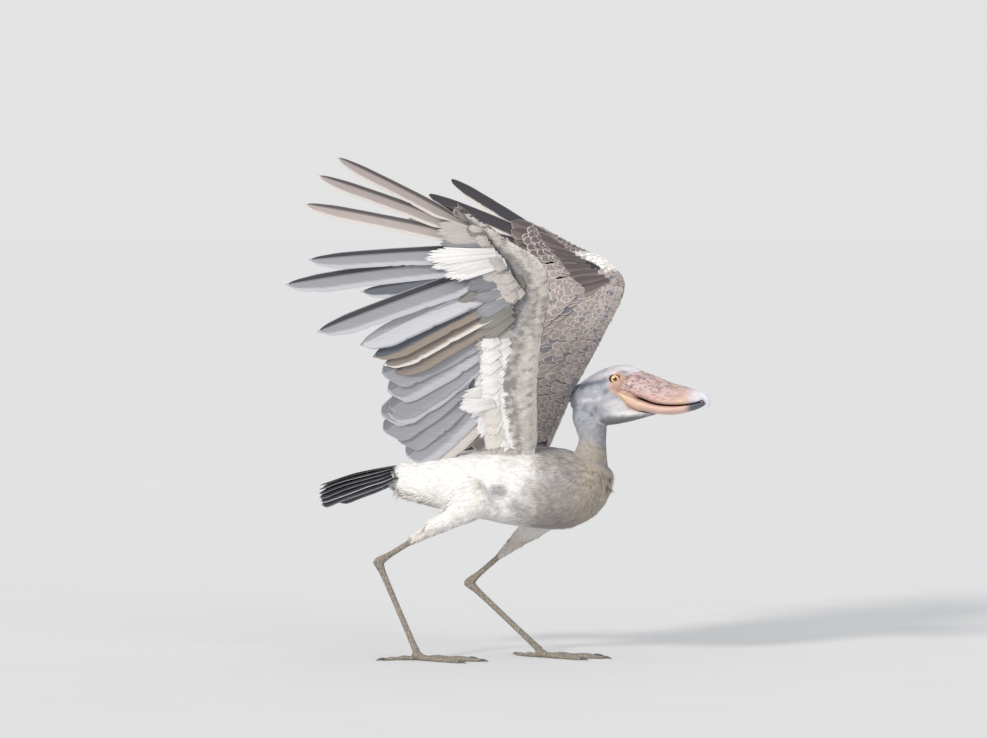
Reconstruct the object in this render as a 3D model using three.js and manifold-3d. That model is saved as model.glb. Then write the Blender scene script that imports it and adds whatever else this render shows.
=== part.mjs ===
// A shoebill with raised wings, crouched low in a stride before it takes off, at life size.
// Millimetres. +X is forward, +Y is the bird's left and +Z is up. Shapes are laid out from a point midway
// between the shoulders, and the last lines set the whole bird on the floor, centred over the origin.
import * as THREE from 'three';
import { mergeVertices } from 'three/addons/utils/BufferGeometryUtils.js';
import Module from 'manifold-3d';

const wasm = await Module();
wasm.setup();

// Driving sizes of the whole bird
const SHOULDER_HEIGHT = 552;
const SHOULDER_HALF = 78;
const GAP = 0.35;
const SIDES = { right: -1, left: 1 };
const FLOOR = -SHOULDER_HEIGHT;

// Wing bones and pose. Wing places are pairs: along the raised wing, then back from the shoulder.
const WING_RAISE = { right: 59.6, left: 56.4 };
const WRIST = [412, -78];
const ELBOW = [222, 78];
const HAND_SWEEP = { right: 42.4, left: 55 };
const VANE_TWIST = 12;

// Flight feathers, from the innermost primary outwards
const PRIMARY_ANGLE = [121, 119.5, 118, 115.3, 109.1, 96.4, 91.4, 74.1, 63.8, 54.9];
const PRIMARY_LENGTH = [472, 476, 480, 482, 554, 567, 479, 462, 426, 381];
const PRIMARY_WIDTH = [60, 62, 64, 68, 62, 58, 50, 42, 40, 38];
const PRIMARY_STEP = 20.5;
const SECONDARIES = { count: 10, length: [433, 338], angle: [120, 125], width: [68, 62] };
const TERTIALS = { count: 5, length: [350, 275], angle: [126.5, 129], width: [60, 54] };
const COVERTS = { count: 10, length: [128, 112], width: 50 };
const PRIMARY_COVERTS = { count: 7, length: [165, 150], width: 60 };
const TAIL = { root: [-338, 0, -84], count: 12, length: 236, width: 46 };
const TAIL_FAN = { spread: 15, pitch: 10, roll: 26, roof: 12, step: 10 };

// Head and bill
const EYE = { x: 179, y: 39, z: 127, radius: 11 };
const LID = { radius: 10.4, thickness: 3, out: 5.2 };
const CREST = { count: 5, root: 96, length: 68, width: 13, spread: 13 };
const NOSTRIL = { x: 250, y: 14, z: 136, length: 16, width: 2.4, depth: 8, slope: 22 };

// A feather's shaft, its vane's edge and a fleshy wing row's height over the bones
const SHAFT_HEIGHT = 2.6;
const VANE_EDGE = 0.8;
const COVERT_LIFT = 13;
const PRIMARY_COVERT_LIFT = 10;

// Legs: knee, ankle and foot joint of each side, and the toes
const LEGS = {
  right: { knee: [-150, -72, -164], ankle: [-401, -78, -318], foot: [-302, -80, -536] },
  left: { knee: [0, 72, -188], ankle: [-222, 80, -375], foot: [-42, 84, -536] },
};
const SHIN_FEATHERED = 0.66;
const LEG_RADIUS = { bone: 7, ankle: 9.5, toes: 9 };
const TOES = [
  { name: 'hind', turn: 172, length: 82, radius: 6.5 },
  { name: 'inner', turn: -27, length: 128, radius: 7 },
  { name: 'middle', turn: 0, length: 158, radius: 7.5 },
  { name: 'outer', turn: 27, length: 134, radius: 7 },
];
const CLAW_LENGTH = 21;
const FOOT_BALL = 12;
const SOLE_CUT = 0.6;

const point = (x, y, z) => new THREE.Vector3(x, y, z);
const mix = (a, b, t) => a + (b - a) * t;
const radians = THREE.MathUtils.degToRad;

// A material from its colour
function finish(color, roughness) {
  return new THREE.MeshStandardMaterial({ color, roughness, metalness: 0 });
}

const MATERIALS = {
  plumage: finish(0x9a9ca3, 0.9),
  flight: finish(0x5f666f, 0.75),
  bill: finish(0xd9b39a, 0.5),
  eye: finish(0xe9b96a, 0.15),
  leg: finish(0x6b6a66, 0.6),
  claw: finish(0x2e2b29, 0.4),
};

// The closed solid of a geometry, with its faces turned outwards
function solidOf(geometry) {
  const bare = geometry.clone();
  bare.deleteAttribute('normal');
  bare.deleteAttribute('uv');
  const merged = mergeVertices(bare, 1e-4);
  const vertProperties = new Float32Array(merged.attributes.position.array);
  const triVerts = new Uint32Array(merged.index.array);
  const made = new wasm.Manifold(new wasm.Mesh({ numProp: 3, vertProperties, triVerts }));
  if (made.volume() > 0) return made;
  for (let i = 0; i < triVerts.length; i += 3) {
    [triVerts[i + 1], triVerts[i + 2]] = [triVerts[i + 2], triVerts[i + 1]];
  }
  return new wasm.Manifold(new wasm.Mesh({ numProp: 3, vertProperties, triVerts }));
}

// A closed skin over rings of points, each end drawn together at the middle of its ring
function skin(rings) {
  const sides = rings[0].length;
  const middle = (ring) => ring.reduce((sum, p) => sum.add(p), point(0, 0, 0)).divideScalar(sides);
  const places = rings.flat().concat([middle(rings[0]), middle(rings.at(-1))]);
  const index = [];
  for (let i = 0; i < rings.length - 1; i++) {
    for (let k = 0; k < sides; k++) {
      const next = (k + 1) % sides;
      const a = i * sides + k;
      const b = i * sides + next;
      index.push(a, b, b + sides, a, b + sides, a + sides);
    }
  }
  const first = rings.length * sides;
  const last = (rings.length - 1) * sides;
  for (let k = 0; k < sides; k++) {
    const next = (k + 1) % sides;
    index.push(first, next, k, first + 1, last + k, last + next);
  }
  const geometry = new THREE.BufferGeometry().setFromPoints(places);
  geometry.setIndex(index);
  return solidOf(geometry);
}

// Rows of numbers drawn through smooth curves and sampled at more places
function refine(rows, count) {
  const width = rows[0].length;
  const at = (i) => rows[Math.max(0, Math.min(rows.length - 1, i))];
  return Array.from({ length: count }, (_, n) => {
    const place = (n / (count - 1)) * (rows.length - 1);
    const i = Math.min(Math.floor(place), rows.length - 2);
    const t = place - i;
    return Array.from({ length: width }, (__, k) => {
      const [p0, p1, p2, p3] = [at(i - 1)[k], at(i)[k], at(i + 1)[k], at(i + 2)[k]];
      const slope1 = (p2 - p0) / 2;
      const slope2 = (p3 - p1) / 2;
      const t2 = t * t;
      const t3 = t2 * t;
      return (2 * t3 - 3 * t2 + 1) * p1 + (t3 - 2 * t2 + t) * slope1
        + (3 * t2 - 2 * t3) * p2 + (t3 - t2) * slope2;
    });
  });
}

// A body along X from rows of [x, top, bottom, half width]. waist is the level of its widest place.
function trunk(rows, { sides, count, grow = 0, waist = 0.5, squareness = 1 }) {
  const rings = refine(rows, count).map(([x, top, bottom, half]) => {
    const level = mix(bottom, top, waist);
    return Array.from({ length: sides }, (_, k) => {
      const a = (2 * Math.PI * k) / sides;
      const across = Math.sign(Math.cos(a)) * Math.abs(Math.cos(a)) ** squareness;
      const up = Math.sign(Math.sin(a)) * Math.abs(Math.sin(a)) ** squareness;
      const reach = up > 0 ? top - level : level - bottom;
      return point(x, across * (half + grow), level + up * (reach + grow));
    });
  });
  rings[0].forEach((p) => (p.x -= grow));
  rings.at(-1).forEach((p) => (p.x += grow));
  return skin(rings);
}

// A limb along rows of [x, y, z, half width, half depth], its rings square to the path
function limb(rows, { sides, count, grow = 0 }) {
  const places = refine(rows, count);
  const path = places.map(([x, y, z]) => point(x, y, z));
  const rings = places.map(([, , , wide, deep], i) => {
    const ahead = path[Math.min(i + 1, path.length - 1)];
    const behind = path[Math.max(i - 1, 0)];
    const along = ahead.clone().sub(behind).normalize();
    const side = point(0, 1, 0).addScaledVector(along, -along.y).normalize();
    const up = along.clone().cross(side);
    return Array.from({ length: sides }, (_, k) => {
      const a = (2 * Math.PI * (k + 0.5)) / sides;
      return path[i].clone()
        .addScaledVector(side, Math.cos(a) * (wide + grow))
        .addScaledVector(up, Math.sin(a) * (deep + grow));
    });
  });
  return skin(rings);
}

// Shares of a feather's length, with the share of its full width there
const VANE_FULL = [[0, 0.12], [0.14, 0.3], [0.3, 0.95], [0.84, 0.84], [0.965, 0.45], [1, 0.1]];
const VANE_SHORT = [[0, 0.35], [0.4, 1], [0.86, 0.8], [1, 0.2]];

// One feather. root, along, outer and upper are its frame, outer pointing at its narrow web.
// sag bends it towards its underside and sweep towards its inner web, by these shares of its length.
function vane(shape) {
  const { root, along, outer, upper, length, width, profile } = shape;
  const { sag = 0.03, sweep = 0, split = 0.3, edge = VANE_EDGE } = shape;
  const rings = profile.map(([t, share]) => {
    const middle = root.clone()
      .addScaledVector(along, t * length)
      .addScaledVector(upper, -sag * length * t * t)
      .addScaledVector(outer, -sweep * length * t * t);
    const shaft = mix(SHAFT_HEIGHT, edge, t);
    const place = (across, lift) => (
      middle.clone().addScaledVector(outer, across).addScaledVector(upper, lift)
    );
    const out = width * split * share;
    const inn = width * (split - 1) * share;
    const half = edge / 2;
    return [place(out, half), place(0, shaft), place(inn, half), place(inn, -half), place(out, -half)];
  });
  return ribbedSkin(rings);
}

// Five-cornered rings joined with each face split along the same way
function ribbedSkin(rings) {
  const sides = rings[0].length;
  const index = [];
  for (let i = 0; i < rings.length - 1; i++) {
    for (let k = 0; k < sides; k++) {
      const a = i * sides + k;
      const b = i * sides + ((k + 1) % sides);
      if (k === 3) index.push(a, b, a + sides, b, b + sides, a + sides);
      else index.push(a, b, b + sides, a, b + sides, a + sides);
    }
  }
  const last = (rings.length - 1) * sides;
  [[0, 1, 4], [1, 3, 4], [1, 2, 3]].forEach(([a, b, c]) => {
    index.push(c, b, a);
    index.push(last + a, last + b, last + c);
  });
  const geometry = new THREE.BufferGeometry().setFromPoints(rings.flat());
  geometry.setIndex(index);
  return solidOf(geometry);
}

// Pieces joined into one body
function joined(pieces) {
  return wasm.Manifold.union(pieces);
}

// The largest body of a solid, without the loose scraps that a cut leaves
function largest(solid) {
  return solid.decompose().sort((a, b) => b.volume() - a.volume())[0];
}

// A wing's frame: places along the raised wing, back from the shoulder, and lifted above it
function wingFrame(side) {
  const out = SIDES[side];
  const raise = radians(WING_RAISE[side]);
  const span = point(0, out * Math.cos(raise), Math.sin(raise));
  const back = point(-1, 0, 0);
  const upper = point(0, -out * Math.sin(raise), Math.cos(raise));
  const origin = point(0, out * SHOULDER_HALF, 0);
  const place = (s, b, lift = 0) => origin.clone().addScaledVector(span, s).addScaledVector(back, b)
    .addScaledVector(upper, lift);
  const heading = (degrees) => span.clone().multiplyScalar(Math.cos(radians(degrees)))
    .addScaledVector(back, Math.sin(radians(degrees)));
  return { place, heading, upper };
}

// A feather that grows from a wing place at an angle from the wing's own length
function wingFeather(frame, spot, angle, options) {
  const along = frame.heading(angle);
  const flat = frame.heading(angle - 90);
  const twist = radians(options.twist ?? VANE_TWIST);
  const outer = flat.clone().multiplyScalar(Math.cos(twist)).addScaledVector(frame.upper, Math.sin(twist));
  const upper = frame.upper.clone().multiplyScalar(Math.cos(twist)).addScaledVector(flat, -Math.sin(twist));
  return vane({ root: frame.place(...spot), along, outer, upper, ...options });
}

// A place along and behind the hand, as a wing place
function handPlace(side, along, behind = 0) {
  const sweep = radians(HAND_SWEEP[side]);
  return [
    WRIST[0] + along * Math.cos(sweep) - behind * Math.sin(sweep),
    WRIST[1] + along * Math.sin(sweep) + behind * Math.cos(sweep),
  ];
}

const between = (a, b, t) => [mix(a[0], b[0], t), mix(a[1], b[1], t)];

// The fleshy arm and hand as one flat body: rows of leading edge, trailing edge and thickness
const ARM_ROWS = [
  [-38, 8, -38, 92, 50],
  [40, -4, 40, 112, 44],
  [127, -16, 130, 118, 36],
  [210, -36, 216, 108, 28],
  [300, -60, 284, 66, 22],
  [366, -82, 340, 22, 19],
  [427, -90, 390, -2, 17],
];
// The hand's rows, in places along and behind the hand from the wrist
const HAND_ROWS = [
  [60, -44, 91, 58, 14],
  [143, -30, 159, 36, 11],
  [222, -21, 223, 16, 8],
  [262, -15, 260, 0, 4],
];

function arm(side, frame) {
  const sides = 8;
  const hand = HAND_ROWS.map(([lead, before, trail, behind, thick]) =>
    [...handPlace(side, lead, before), ...handPlace(side, trail, behind), thick]);
  const rings = refine([...ARM_ROWS, ...hand], 13).map(([s0, b0, s1, b1, thick]) =>
    Array.from({ length: sides }, (_, k) => {
      const a = (2 * Math.PI * k) / sides;
      const chord = (1 - Math.cos(a)) / 2;
      const fullness = Math.sin(a) * (1.25 - 0.75 * chord);
      return frame.place(mix(s0, s1, chord), mix(b0, b1, chord), (fullness * thick) / 2);
    }));
  return skin(rings);
}

function primaries(side, frame) {
  return PRIMARY_ANGLE.map((angle, i) => {
    const root = handPlace(side, PRIMARY_STEP * (i + 0.4));
    const curve = { profile: VANE_FULL, sag: 0.02, sweep: 0.02 + 0.002 * i };
    return wingFeather(frame, root, angle, { ...curve, length: PRIMARY_LENGTH[i], width: PRIMARY_WIDTH[i] });
  });
}

// A row of feathers whose roots run from one wing place to another
function row(frame, { count, length, angle, width }, from, to, options) {
  return Array.from({ length: count }, (_, i) => {
    const t = i / (count - 1);
    const [s, b] = between(from, to, t);
    return wingFeather(frame, [s, b, options.lift ?? 0], mix(...angle, t), {
      length: mix(...length, t), width: Array.isArray(width) ? mix(...width, t) : width, ...options,
    });
  });
}

// Places for the roots of the secondaries, behind the forearm, and of the tertials, behind the upper arm
const SECONDARY_ROOTS = [[372, -20], [204, 112]];
const TERTIAL_ROOTS = [[184, 112], [96, 96]];
// The covert rows' roots, from the wrist to near the shoulder
const COVERT_ROOTS = [[392, -50], [60, 70]];

function wing(side) {
  const frame = wingFrame(side);
  const flight = { profile: VANE_FULL, sag: 0.02, sweep: 0.02 };
  const short = { profile: VANE_SHORT, split: 0.45, twist: 5, sag: 0 };
  const coverts = { ...COVERTS, angle: [114, 118] };
  const primaryCoverts = { ...PRIMARY_COVERTS, angle: [110, 62] };
  const hand = [handPlace(side, 12), handPlace(side, 196)];
  const pieces = [
    arm(side, frame),
    ...primaries(side, frame),
    ...row(frame, SECONDARIES, ...SECONDARY_ROOTS, { ...flight, lift: 1 }),
    ...row(frame, TERTIALS, ...TERTIAL_ROOTS, { ...flight, lift: 3 }),
    ...[1, -1].flatMap((face) => [
      ...row(frame, coverts, ...COVERT_ROOTS, { ...short, lift: face * COVERT_LIFT }),
      ...row(frame, primaryCoverts, ...hand, { ...short, lift: face * PRIMARY_COVERT_LIFT }),
    ]),
    ...alula(side, frame),
  ];
  return largest(joined(pieces).subtract(torsoBody(GAP)).subtract(tail(2 * GAP)));
}

// The three feathers of the thumb, along the hand's leading edge
function alula(side, frame) {
  const shape = { width: 26, profile: VANE_SHORT, split: 0.35, sag: 0.02, twist: 4 };
  return [0, 1, 2].map((i) => {
    const root = [...handPlace(side, 40 + 8 * i, -8 - 2 * i), 5 + 1.5 * i];
    return wingFeather(frame, root, HAND_SWEEP[side] + 6 * i, { ...shape, length: 112 - 14 * i });
  });
}

// The trunk: rows of [x, top, bottom, half width]
const TORSO_ROWS = [
  [-372, -84, -146, 26],
  [-345, -70, -172, 46],
  [-275, -54, -196, 66],
  [-190, -44, -214, 84],
  [-95, -36, -232, 97],
  [-5, -34, -240, 101],
  [62, -42, -234, 97],
  [112, -56, -208, 85],
  [146, -72, -170, 66],
  [166, -96, -130, 34],
];

function torsoBody(grow = 0) {
  return trunk(TORSO_ROWS, { sides: 20, count: 19, grow, waist: 0.52, squareness: 0.92 });
}

// The neck: rows of [x, y, z, half width, half depth]
const NECK_ROWS = [
  [70, 0, -150, 66, 66],
  [98, 0, -100, 58, 60],
  [114, 0, -55, 46, 50],
  [120, 0, -12, 37, 40],
  [118, 0, 30, 35, 36],
  [112, 0, 75, 36, 36],
];

function neckBody(grow = 0) {
  return limb(NECK_ROWS, { sides: 14, count: 12, grow });
}

// The skull and cheeks: rows of [x, top, bottom, half width]
const SKULL_ROWS = [
  [60, 90, 66, 14],
  [74, 108, 42, 35],
  [100, 129, 27, 46],
  [132, 147, 21, 53],
  [162, 158, 20, 55],
  [190, 162, 24, 55],
  [212, 158, 36, 53],
  [230, 150, 58, 47],
  [244, 140, 80, 34],
];
const THROAT_ROWS = [
  [130, 70, 12, 40],
  [160, 62, 14, 44],
  [195, 62, 20, 44],
  [230, 58, 29, 40],
  [258, 52, 37, 30],
  [274, 50, 42, 14],
];

function headBody(grow = 0) {
  return joined([
    trunk(SKULL_ROWS, { sides: 16, count: 11, grow, waist: 0.45 }),
    trunk(THROAT_ROWS, { sides: 10, count: 6, grow }),
  ]);
}

// The lids: a low ring on the head round each eye
function lids(out) {
  const ring = new THREE.TorusGeometry(LID.radius, LID.thickness, 5, 12);
  ring.rotateX(Math.PI / 2).translate(EYE.x, out * (EYE.y + LID.out), EYE.z);
  return solidOf(ring);
}

// The tuft at the nape, its feathers fanned out behind the crown
function crest() {
  const shape = { length: CREST.length, width: CREST.width, profile: VANE_SHORT, split: 0.5, sag: 0.12 };
  return Array.from({ length: CREST.count }, (_, i) => {
    const turn = radians((i - (CREST.count - 1) / 2) * CREST.spread);
    const along = point(-0.94 * Math.cos(turn), Math.sin(turn), 0.12 * Math.cos(3 * turn) - 0.34).normalize();
    const outer = point(Math.sin(turn), Math.cos(turn), 0);
    const upper = outer.clone().cross(along).normalize();
    const root = point(CREST.root, 10 * Math.sin(turn * 2), 108 - 3 * i);
    return vane({ ...shape, root, along, outer, upper });
  });
}

function eyeBall(out, grow = 0) {
  const ball = new THREE.SphereGeometry(EYE.radius + grow, 12, 8).rotateX(Math.PI / 2);
  return solidOf(ball.translate(EYE.x, out * EYE.y, EYE.z));
}

function head() {
  let made = joined([headBody(), lids(1), lids(-1), ...crest()]);
  for (const out of [1, -1]) made = made.subtract(eyeBall(out, GAP));
  return largest(made.subtract(neckBody(GAP)).subtract(upperBill(GAP)).subtract(lowerBill(GAP)));
}

// The upper bill: rows of [x, top, bottom, half width], then its hooked nail
const UPPER_BILL_ROWS = [
  [206, 146, 96, 46],
  [224, 146, 88, 51],
  [246, 140, 79, 54],
  [280, 125, 68, 55],
  [318, 112, 65, 51],
  [350, 105, 67, 41],
  [374, 99, 72, 27],
  [388, 93, 78, 13],
];
const NAIL_ROWS = [
  [356, 0, 86, 26, 15],
  [376, 0, 87, 20, 12],
  [389, 0, 83, 13, 10],
  [396, 0, 74, 8, 7],
  [397, 0, 64, 4.5, 4.5],
  [394, 0, 56, 1.2, 1.2],
];

function upperBill(grow = 0) {
  return joined([
    trunk(UPPER_BILL_ROWS, { sides: 14, count: 10, grow, waist: 0.22, squareness: 0.8 }),
    limb(NAIL_ROWS, { sides: 8, count: 8, grow }),
    culmenRidge(grow),
  ]);
}

// The low keel along the top of the bill
function culmenRidge(grow) {
  return limb([
    [226, 0, 142, 8, 7], [262, 0, 130, 9, 6], [310, 0, 112, 9, 5.5], [352, 0, 101, 9, 6], [384, 0, 91, 7, 5],
  ], { sides: 6, count: 6, grow });
}

// A nostril: a slit beside the keel, near the forehead
function nostril(out) {
  const slit = new THREE.SphereGeometry(0.5, 10, 6).scale(NOSTRIL.length, NOSTRIL.width, NOSTRIL.depth);
  slit.rotateY(radians(NOSTRIL.slope)).translate(NOSTRIL.x, out * NOSTRIL.y, NOSTRIL.z);
  return solidOf(slit);
}

const LOWER_BILL_ROWS = [
  [192, 102, 86, 40],
  [214, 93, 66, 48],
  [246, 79, 50, 51],
  [280, 69, 43, 51],
  [316, 66, 42, 47],
  [350, 68, 49, 37],
  [374, 73, 57, 23],
  [389, 75, 65, 9],
];

function lowerBill(grow = 0) {
  return trunk(LOWER_BILL_ROWS, { sides: 14, count: 9, grow, waist: 0.7, squareness: 0.8 });
}

// One of the tail's feathers. t is its place from -1 on the right to 1 on the left.
function tailFeather(t, edge) {
  const pitch = radians(TAIL_FAN.pitch);
  const turn = radians(TAIL_FAN.spread * t);
  const roll = radians(TAIL_FAN.roll * t);
  const along = point(-Math.cos(turn) * Math.cos(pitch), Math.sin(turn), -Math.sin(pitch)).normalize();
  const flat = point(Math.sin(turn), Math.cos(turn), 0);
  const rise = flat.clone().cross(along).normalize();
  const outer = flat.clone().multiplyScalar(Math.cos(roll)).addScaledVector(rise, -Math.sin(roll));
  const upper = rise.clone().multiplyScalar(Math.cos(roll)).addScaledVector(flat, Math.sin(roll));
  const drop = TAIL_FAN.roof * t * t + TAIL_FAN.step * Math.abs(t);
  const shape = { width: TAIL.width, profile: VANE_FULL, split: 0.5, sag: 0.17, edge };
  const root = point(TAIL.root[0], 22 * t, TAIL.root[2] - drop);
  return vane({ ...shape, root, along, outer, upper, length: TAIL.length - 14 * t * t });
}

// The tail: a roofed fan, and the coverts at its root. grow makes it fuller, to clear a neighbour.
function tail(grow = 0) {
  const places = Array.from({ length: TAIL.count }, (_, i) => (i / (TAIL.count - 1)) * 2 - 1);
  const coverts = [
    [-330, 0, -104, 30, 30],
    [-352, 0, -108, 29, 26],
    [-384, 0, -114, 25, 16],
    [-416, 0, -119, 18, 8],
  ];
  return joined([
    ...places.map((t) => tailFeather(t, VANE_EDGE + 2 * grow)),
    limb(coverts, { sides: 12, count: 6, grow }),
  ]);
}

// A place from one leg joint to the next
function along(from, to) {
  return (t) => from.map((value, i) => mix(value, to[i], t));
}

// The shin in its feathers, from inside the body to above the ankle
function shin(side, grow = 0) {
  const at = along(LEGS[side].knee, LEGS[side].ankle);
  return limb([
    [...at(-0.12), 40, 52],
    [...at(0.06), 38, 46],
    [...at(0.24), 29, 36],
    [...at(0.42), 20, 26],
    [...at(0.56), 13, 16],
    [...at(SHIN_FEATHERED), 9.5, 10.5],
  ], { sides: 14, count: 9, grow });
}

// The bare leg: the end of the shin, the ankle's knob and the long shank down to the toes
function bareLeg(side, grow = 0) {
  const upper = along(LEGS[side].knee, LEGS[side].ankle);
  const lower = along(LEGS[side].ankle, LEGS[side].foot);
  const { bone, ankle, toes } = LEG_RADIUS;
  const shinEnd = limb([
    [...upper(0.58), bone, bone],
    [...upper(0.86), bone, bone],
    [...upper(0.96), ankle, 1.1 * ankle],
    [...upper(1.01), ankle, 1.1 * ankle],
    [...upper(1.04), 0.5 * ankle, 0.6 * ankle],
  ], { sides: 8, count: 6, grow });
  const shank = limb([
    [...lower(-0.02), 0.85 * ankle, 0.95 * ankle],
    [...lower(0.04), ankle, 1.15 * ankle],
    [...lower(0.14), 1.05 * bone, 1.15 * bone],
    [...lower(0.5), 0.95 * bone, bone],
    [...lower(0.88), 1.08 * bone, 1.1 * bone],
    [...lower(0.98), toes, toes],
  ], { sides: 8, count: 8, grow });
  return joined([shinEnd, shank]);
}

// A place along a toe, which bends a little towards the middle one
function toePlace(side, toe, t) {
  const { foot: joint } = LEGS[side];
  const turn = radians(toe.turn) * SIDES[side] * (1 - 0.12 * t);
  return [joint[0] + Math.cos(turn) * toe.length * t, joint[1] + Math.sin(turn) * toe.length * t];
}

// A foot with its sole cut flat at the floor
function foot(side) {
  const { foot: joint } = LEGS[side];
  const toes = TOES.map((toe) => {
    const rows = [0, 0.2, 0.4, 0.6, 0.8, 1].map((t) => {
      const radius = mix(toe.radius, 0.55 * toe.radius, t) * (1 + 0.12 * Math.cos(t * Math.PI * 5));
      return [...toePlace(side, toe, t), FLOOR + radius - SOLE_CUT, radius, radius];
    });
    return limb(rows, { sides: 6, count: 6 });
  });
  const ball = new THREE.SphereGeometry(FOOT_BALL, 10, 6).scale(1.1, 1, 0.95);
  ball.translate(joint[0], joint[1], FLOOR + 0.85 * FOOT_BALL);
  const under = new THREE.BoxGeometry(900, 900, 40).translate(joint[0], joint[1], FLOOR - 20);
  return largest(joined([...toes, solidOf(ball)]).subtract(solidOf(under)).subtract(bareLeg(side, GAP)));
}

// A claw past the end of its toe, its point near the floor
function claw(side, toe) {
  const [x, y] = toePlace(side, toe, 1);
  const [nearX, nearY] = toePlace(side, toe, 0.9);
  const ahead = point(x - nearX, y - nearY, 0).normalize();
  const place = (t, up) => {
    const reach = GAP + CLAW_LENGTH * t;
    return [x + ahead.x * reach, y + ahead.y * reach, FLOOR + up];
  };
  return limb([
    [...place(0, 4.2), 2.9, 3.4],
    [...place(0.35, 4.4), 2.6, 3],
    [...place(0.7, 3.2), 1.7, 1.9],
    [...place(1, 1.2), 0.6, 0.6],
  ], { sides: 5, count: 4 });
}

const bird = new THREE.Group();

// Adds a solid to the bird as a named mesh
function add(name, made, material) {
  const mesh = made.getMesh();
  const geometry = new THREE.BufferGeometry();
  geometry.setAttribute('position', new THREE.BufferAttribute(new Float32Array(mesh.vertProperties), 3));
  geometry.setIndex(new THREE.BufferAttribute(mesh.triVerts, 1));
  const node = new THREE.Mesh(geometry, material);
  node.name = name;
  bird.add(node);
}

const torso = torsoBody(GAP);
const upper = upperBill();
add('torso', torsoBody(), MATERIALS.plumage);
add('neck', largest(neckBody().subtract(torso)), MATERIALS.plumage);
add('head', head(), MATERIALS.plumage);
add('bill_upper', largest(upper.subtract(nostril(1)).subtract(nostril(-1))), MATERIALS.bill);
add('bill_lower', largest(lowerBill().subtract(upperBill(GAP))), MATERIALS.bill);
add('tail', largest(tail().subtract(torso)), MATERIALS.flight);
for (const [side, out] of Object.entries(SIDES)) {
  const toes = foot(side);
  add(`eye_${side}`, eyeBall(out), MATERIALS.eye);
  add(`wing_${side}`, wing(side), MATERIALS.flight);
  add(`shin_${side}`, largest(shin(side).subtract(torso)), MATERIALS.plumage);
  add(`leg_${side}`, largest(bareLeg(side).subtract(shin(side, GAP))), MATERIALS.leg);
  add(`foot_${side}`, toes, MATERIALS.leg);
  for (const toe of TOES) {
    add(`claw_${side}_${toe.name}`, largest(claw(side, toe).subtract(toes)), MATERIALS.claw);
  }
}

// The bird stands on the floor, centred over the origin
const room = new THREE.Box3().setFromObject(bird);
bird.position.set(-(room.min.x + room.max.x) / 2, -(room.min.y + room.max.y) / 2, -room.min.z);

export default bird;
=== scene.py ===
"""A shoebill, life size, with its wings raised: its looks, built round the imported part."""

import itertools
import math

import bmesh
import bpy
import numpy as np
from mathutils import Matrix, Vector, noise
from mathutils.bvhtree import BVHTree


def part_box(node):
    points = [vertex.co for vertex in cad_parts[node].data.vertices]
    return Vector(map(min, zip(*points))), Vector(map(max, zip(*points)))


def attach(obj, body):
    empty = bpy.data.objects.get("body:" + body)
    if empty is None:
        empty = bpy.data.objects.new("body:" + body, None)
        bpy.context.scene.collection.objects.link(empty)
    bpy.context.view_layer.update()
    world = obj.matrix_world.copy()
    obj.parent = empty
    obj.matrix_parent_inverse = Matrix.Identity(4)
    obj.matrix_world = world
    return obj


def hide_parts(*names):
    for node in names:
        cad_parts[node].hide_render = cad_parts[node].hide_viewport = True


bl_info = {
    "name": "Shoebill",
    "version": (1, 0, 0),
    "blender": (4, 5, 0),
    "location": "View3D > Sidebar > Shoebill",
    "description": "Builds a life-size shoebill's skin, feathers, bill, eyes and feet",
    "category": "Object",
}

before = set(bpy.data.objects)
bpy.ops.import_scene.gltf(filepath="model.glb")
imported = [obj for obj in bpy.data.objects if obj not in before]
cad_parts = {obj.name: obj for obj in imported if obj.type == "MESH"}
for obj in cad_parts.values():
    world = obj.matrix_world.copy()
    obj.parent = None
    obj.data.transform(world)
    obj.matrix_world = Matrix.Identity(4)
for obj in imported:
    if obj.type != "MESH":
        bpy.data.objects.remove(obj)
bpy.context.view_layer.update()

MM = 0.001
# The shapes below are in mm from the point midway between the shoulders: X ahead, Y to the left, Z up
FLOOR = -552
TORSO_REAR = -372
TORSO_LOW, TORSO_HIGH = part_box("torso")
ORIGIN = np.array([
    TORSO_LOW.x - TORSO_REAR / 1000, (TORSO_LOW.y + TORSO_HIGH.y) / 2, -FLOOR / 1000,
])
SIDES = {"right": -1, "left": 1}
# Edges sharper than this are shaded as edges, so a thin feather's two faces stay apart
RIM_ANGLE = math.radians(70)
BAKE_MAP = "OFBake"
# A small feather's width on the map
PATCH = 0.003


def paint(red, green, blue):
    """A screen colour as the linear one that materials use."""
    share = np.array([red, green, blue]) / 255
    return tuple(np.where(share < 0.04045, share / 12.92, ((share + 0.055) / 1.055) ** 2.4))


# Shapes of the bird, as in the part

# Rows of a trunk: x, top, bottom and half width. Rows of a limb: x, y, z, half width and half depth
TORSO_ROWS = [
    [TORSO_REAR, -84, -146, 26], [-345, -70, -172, 46], [-275, -54, -196, 66], [-190, -44, -214, 84],
    [-95, -36, -232, 97], [-5, -34, -240, 101], [62, -42, -234, 97], [112, -56, -208, 85],
    [140, -70, -174, 62], [155, -92, -136, 32],
]
NECK_ROWS = [
    [70, 0, -150, 66, 66], [98, 0, -100, 56, 57], [108, 0, -55, 42, 44], [112, 0, -20, 37, 38],
    [110, 0, 10, 40, 43], [106, 0, 38, 43, 47], [104, 0, 75, 43, 46],
]
SKULL_ROWS = [
    [60, 90, 66, 14], [74, 108, 42, 35], [100, 129, 27, 46], [132, 147, 21, 53], [162, 158, 20, 55],
    [190, 162, 24, 55], [212, 158, 36, 53], [230, 150, 58, 47], [244, 140, 80, 34],
]
THROAT_ROWS = [
    [130, 70, 12, 40], [160, 62, 14, 44], [195, 62, 20, 44], [230, 58, 29, 40], [258, 52, 37, 30],
    [274, 50, 42, 14],
]
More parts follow.
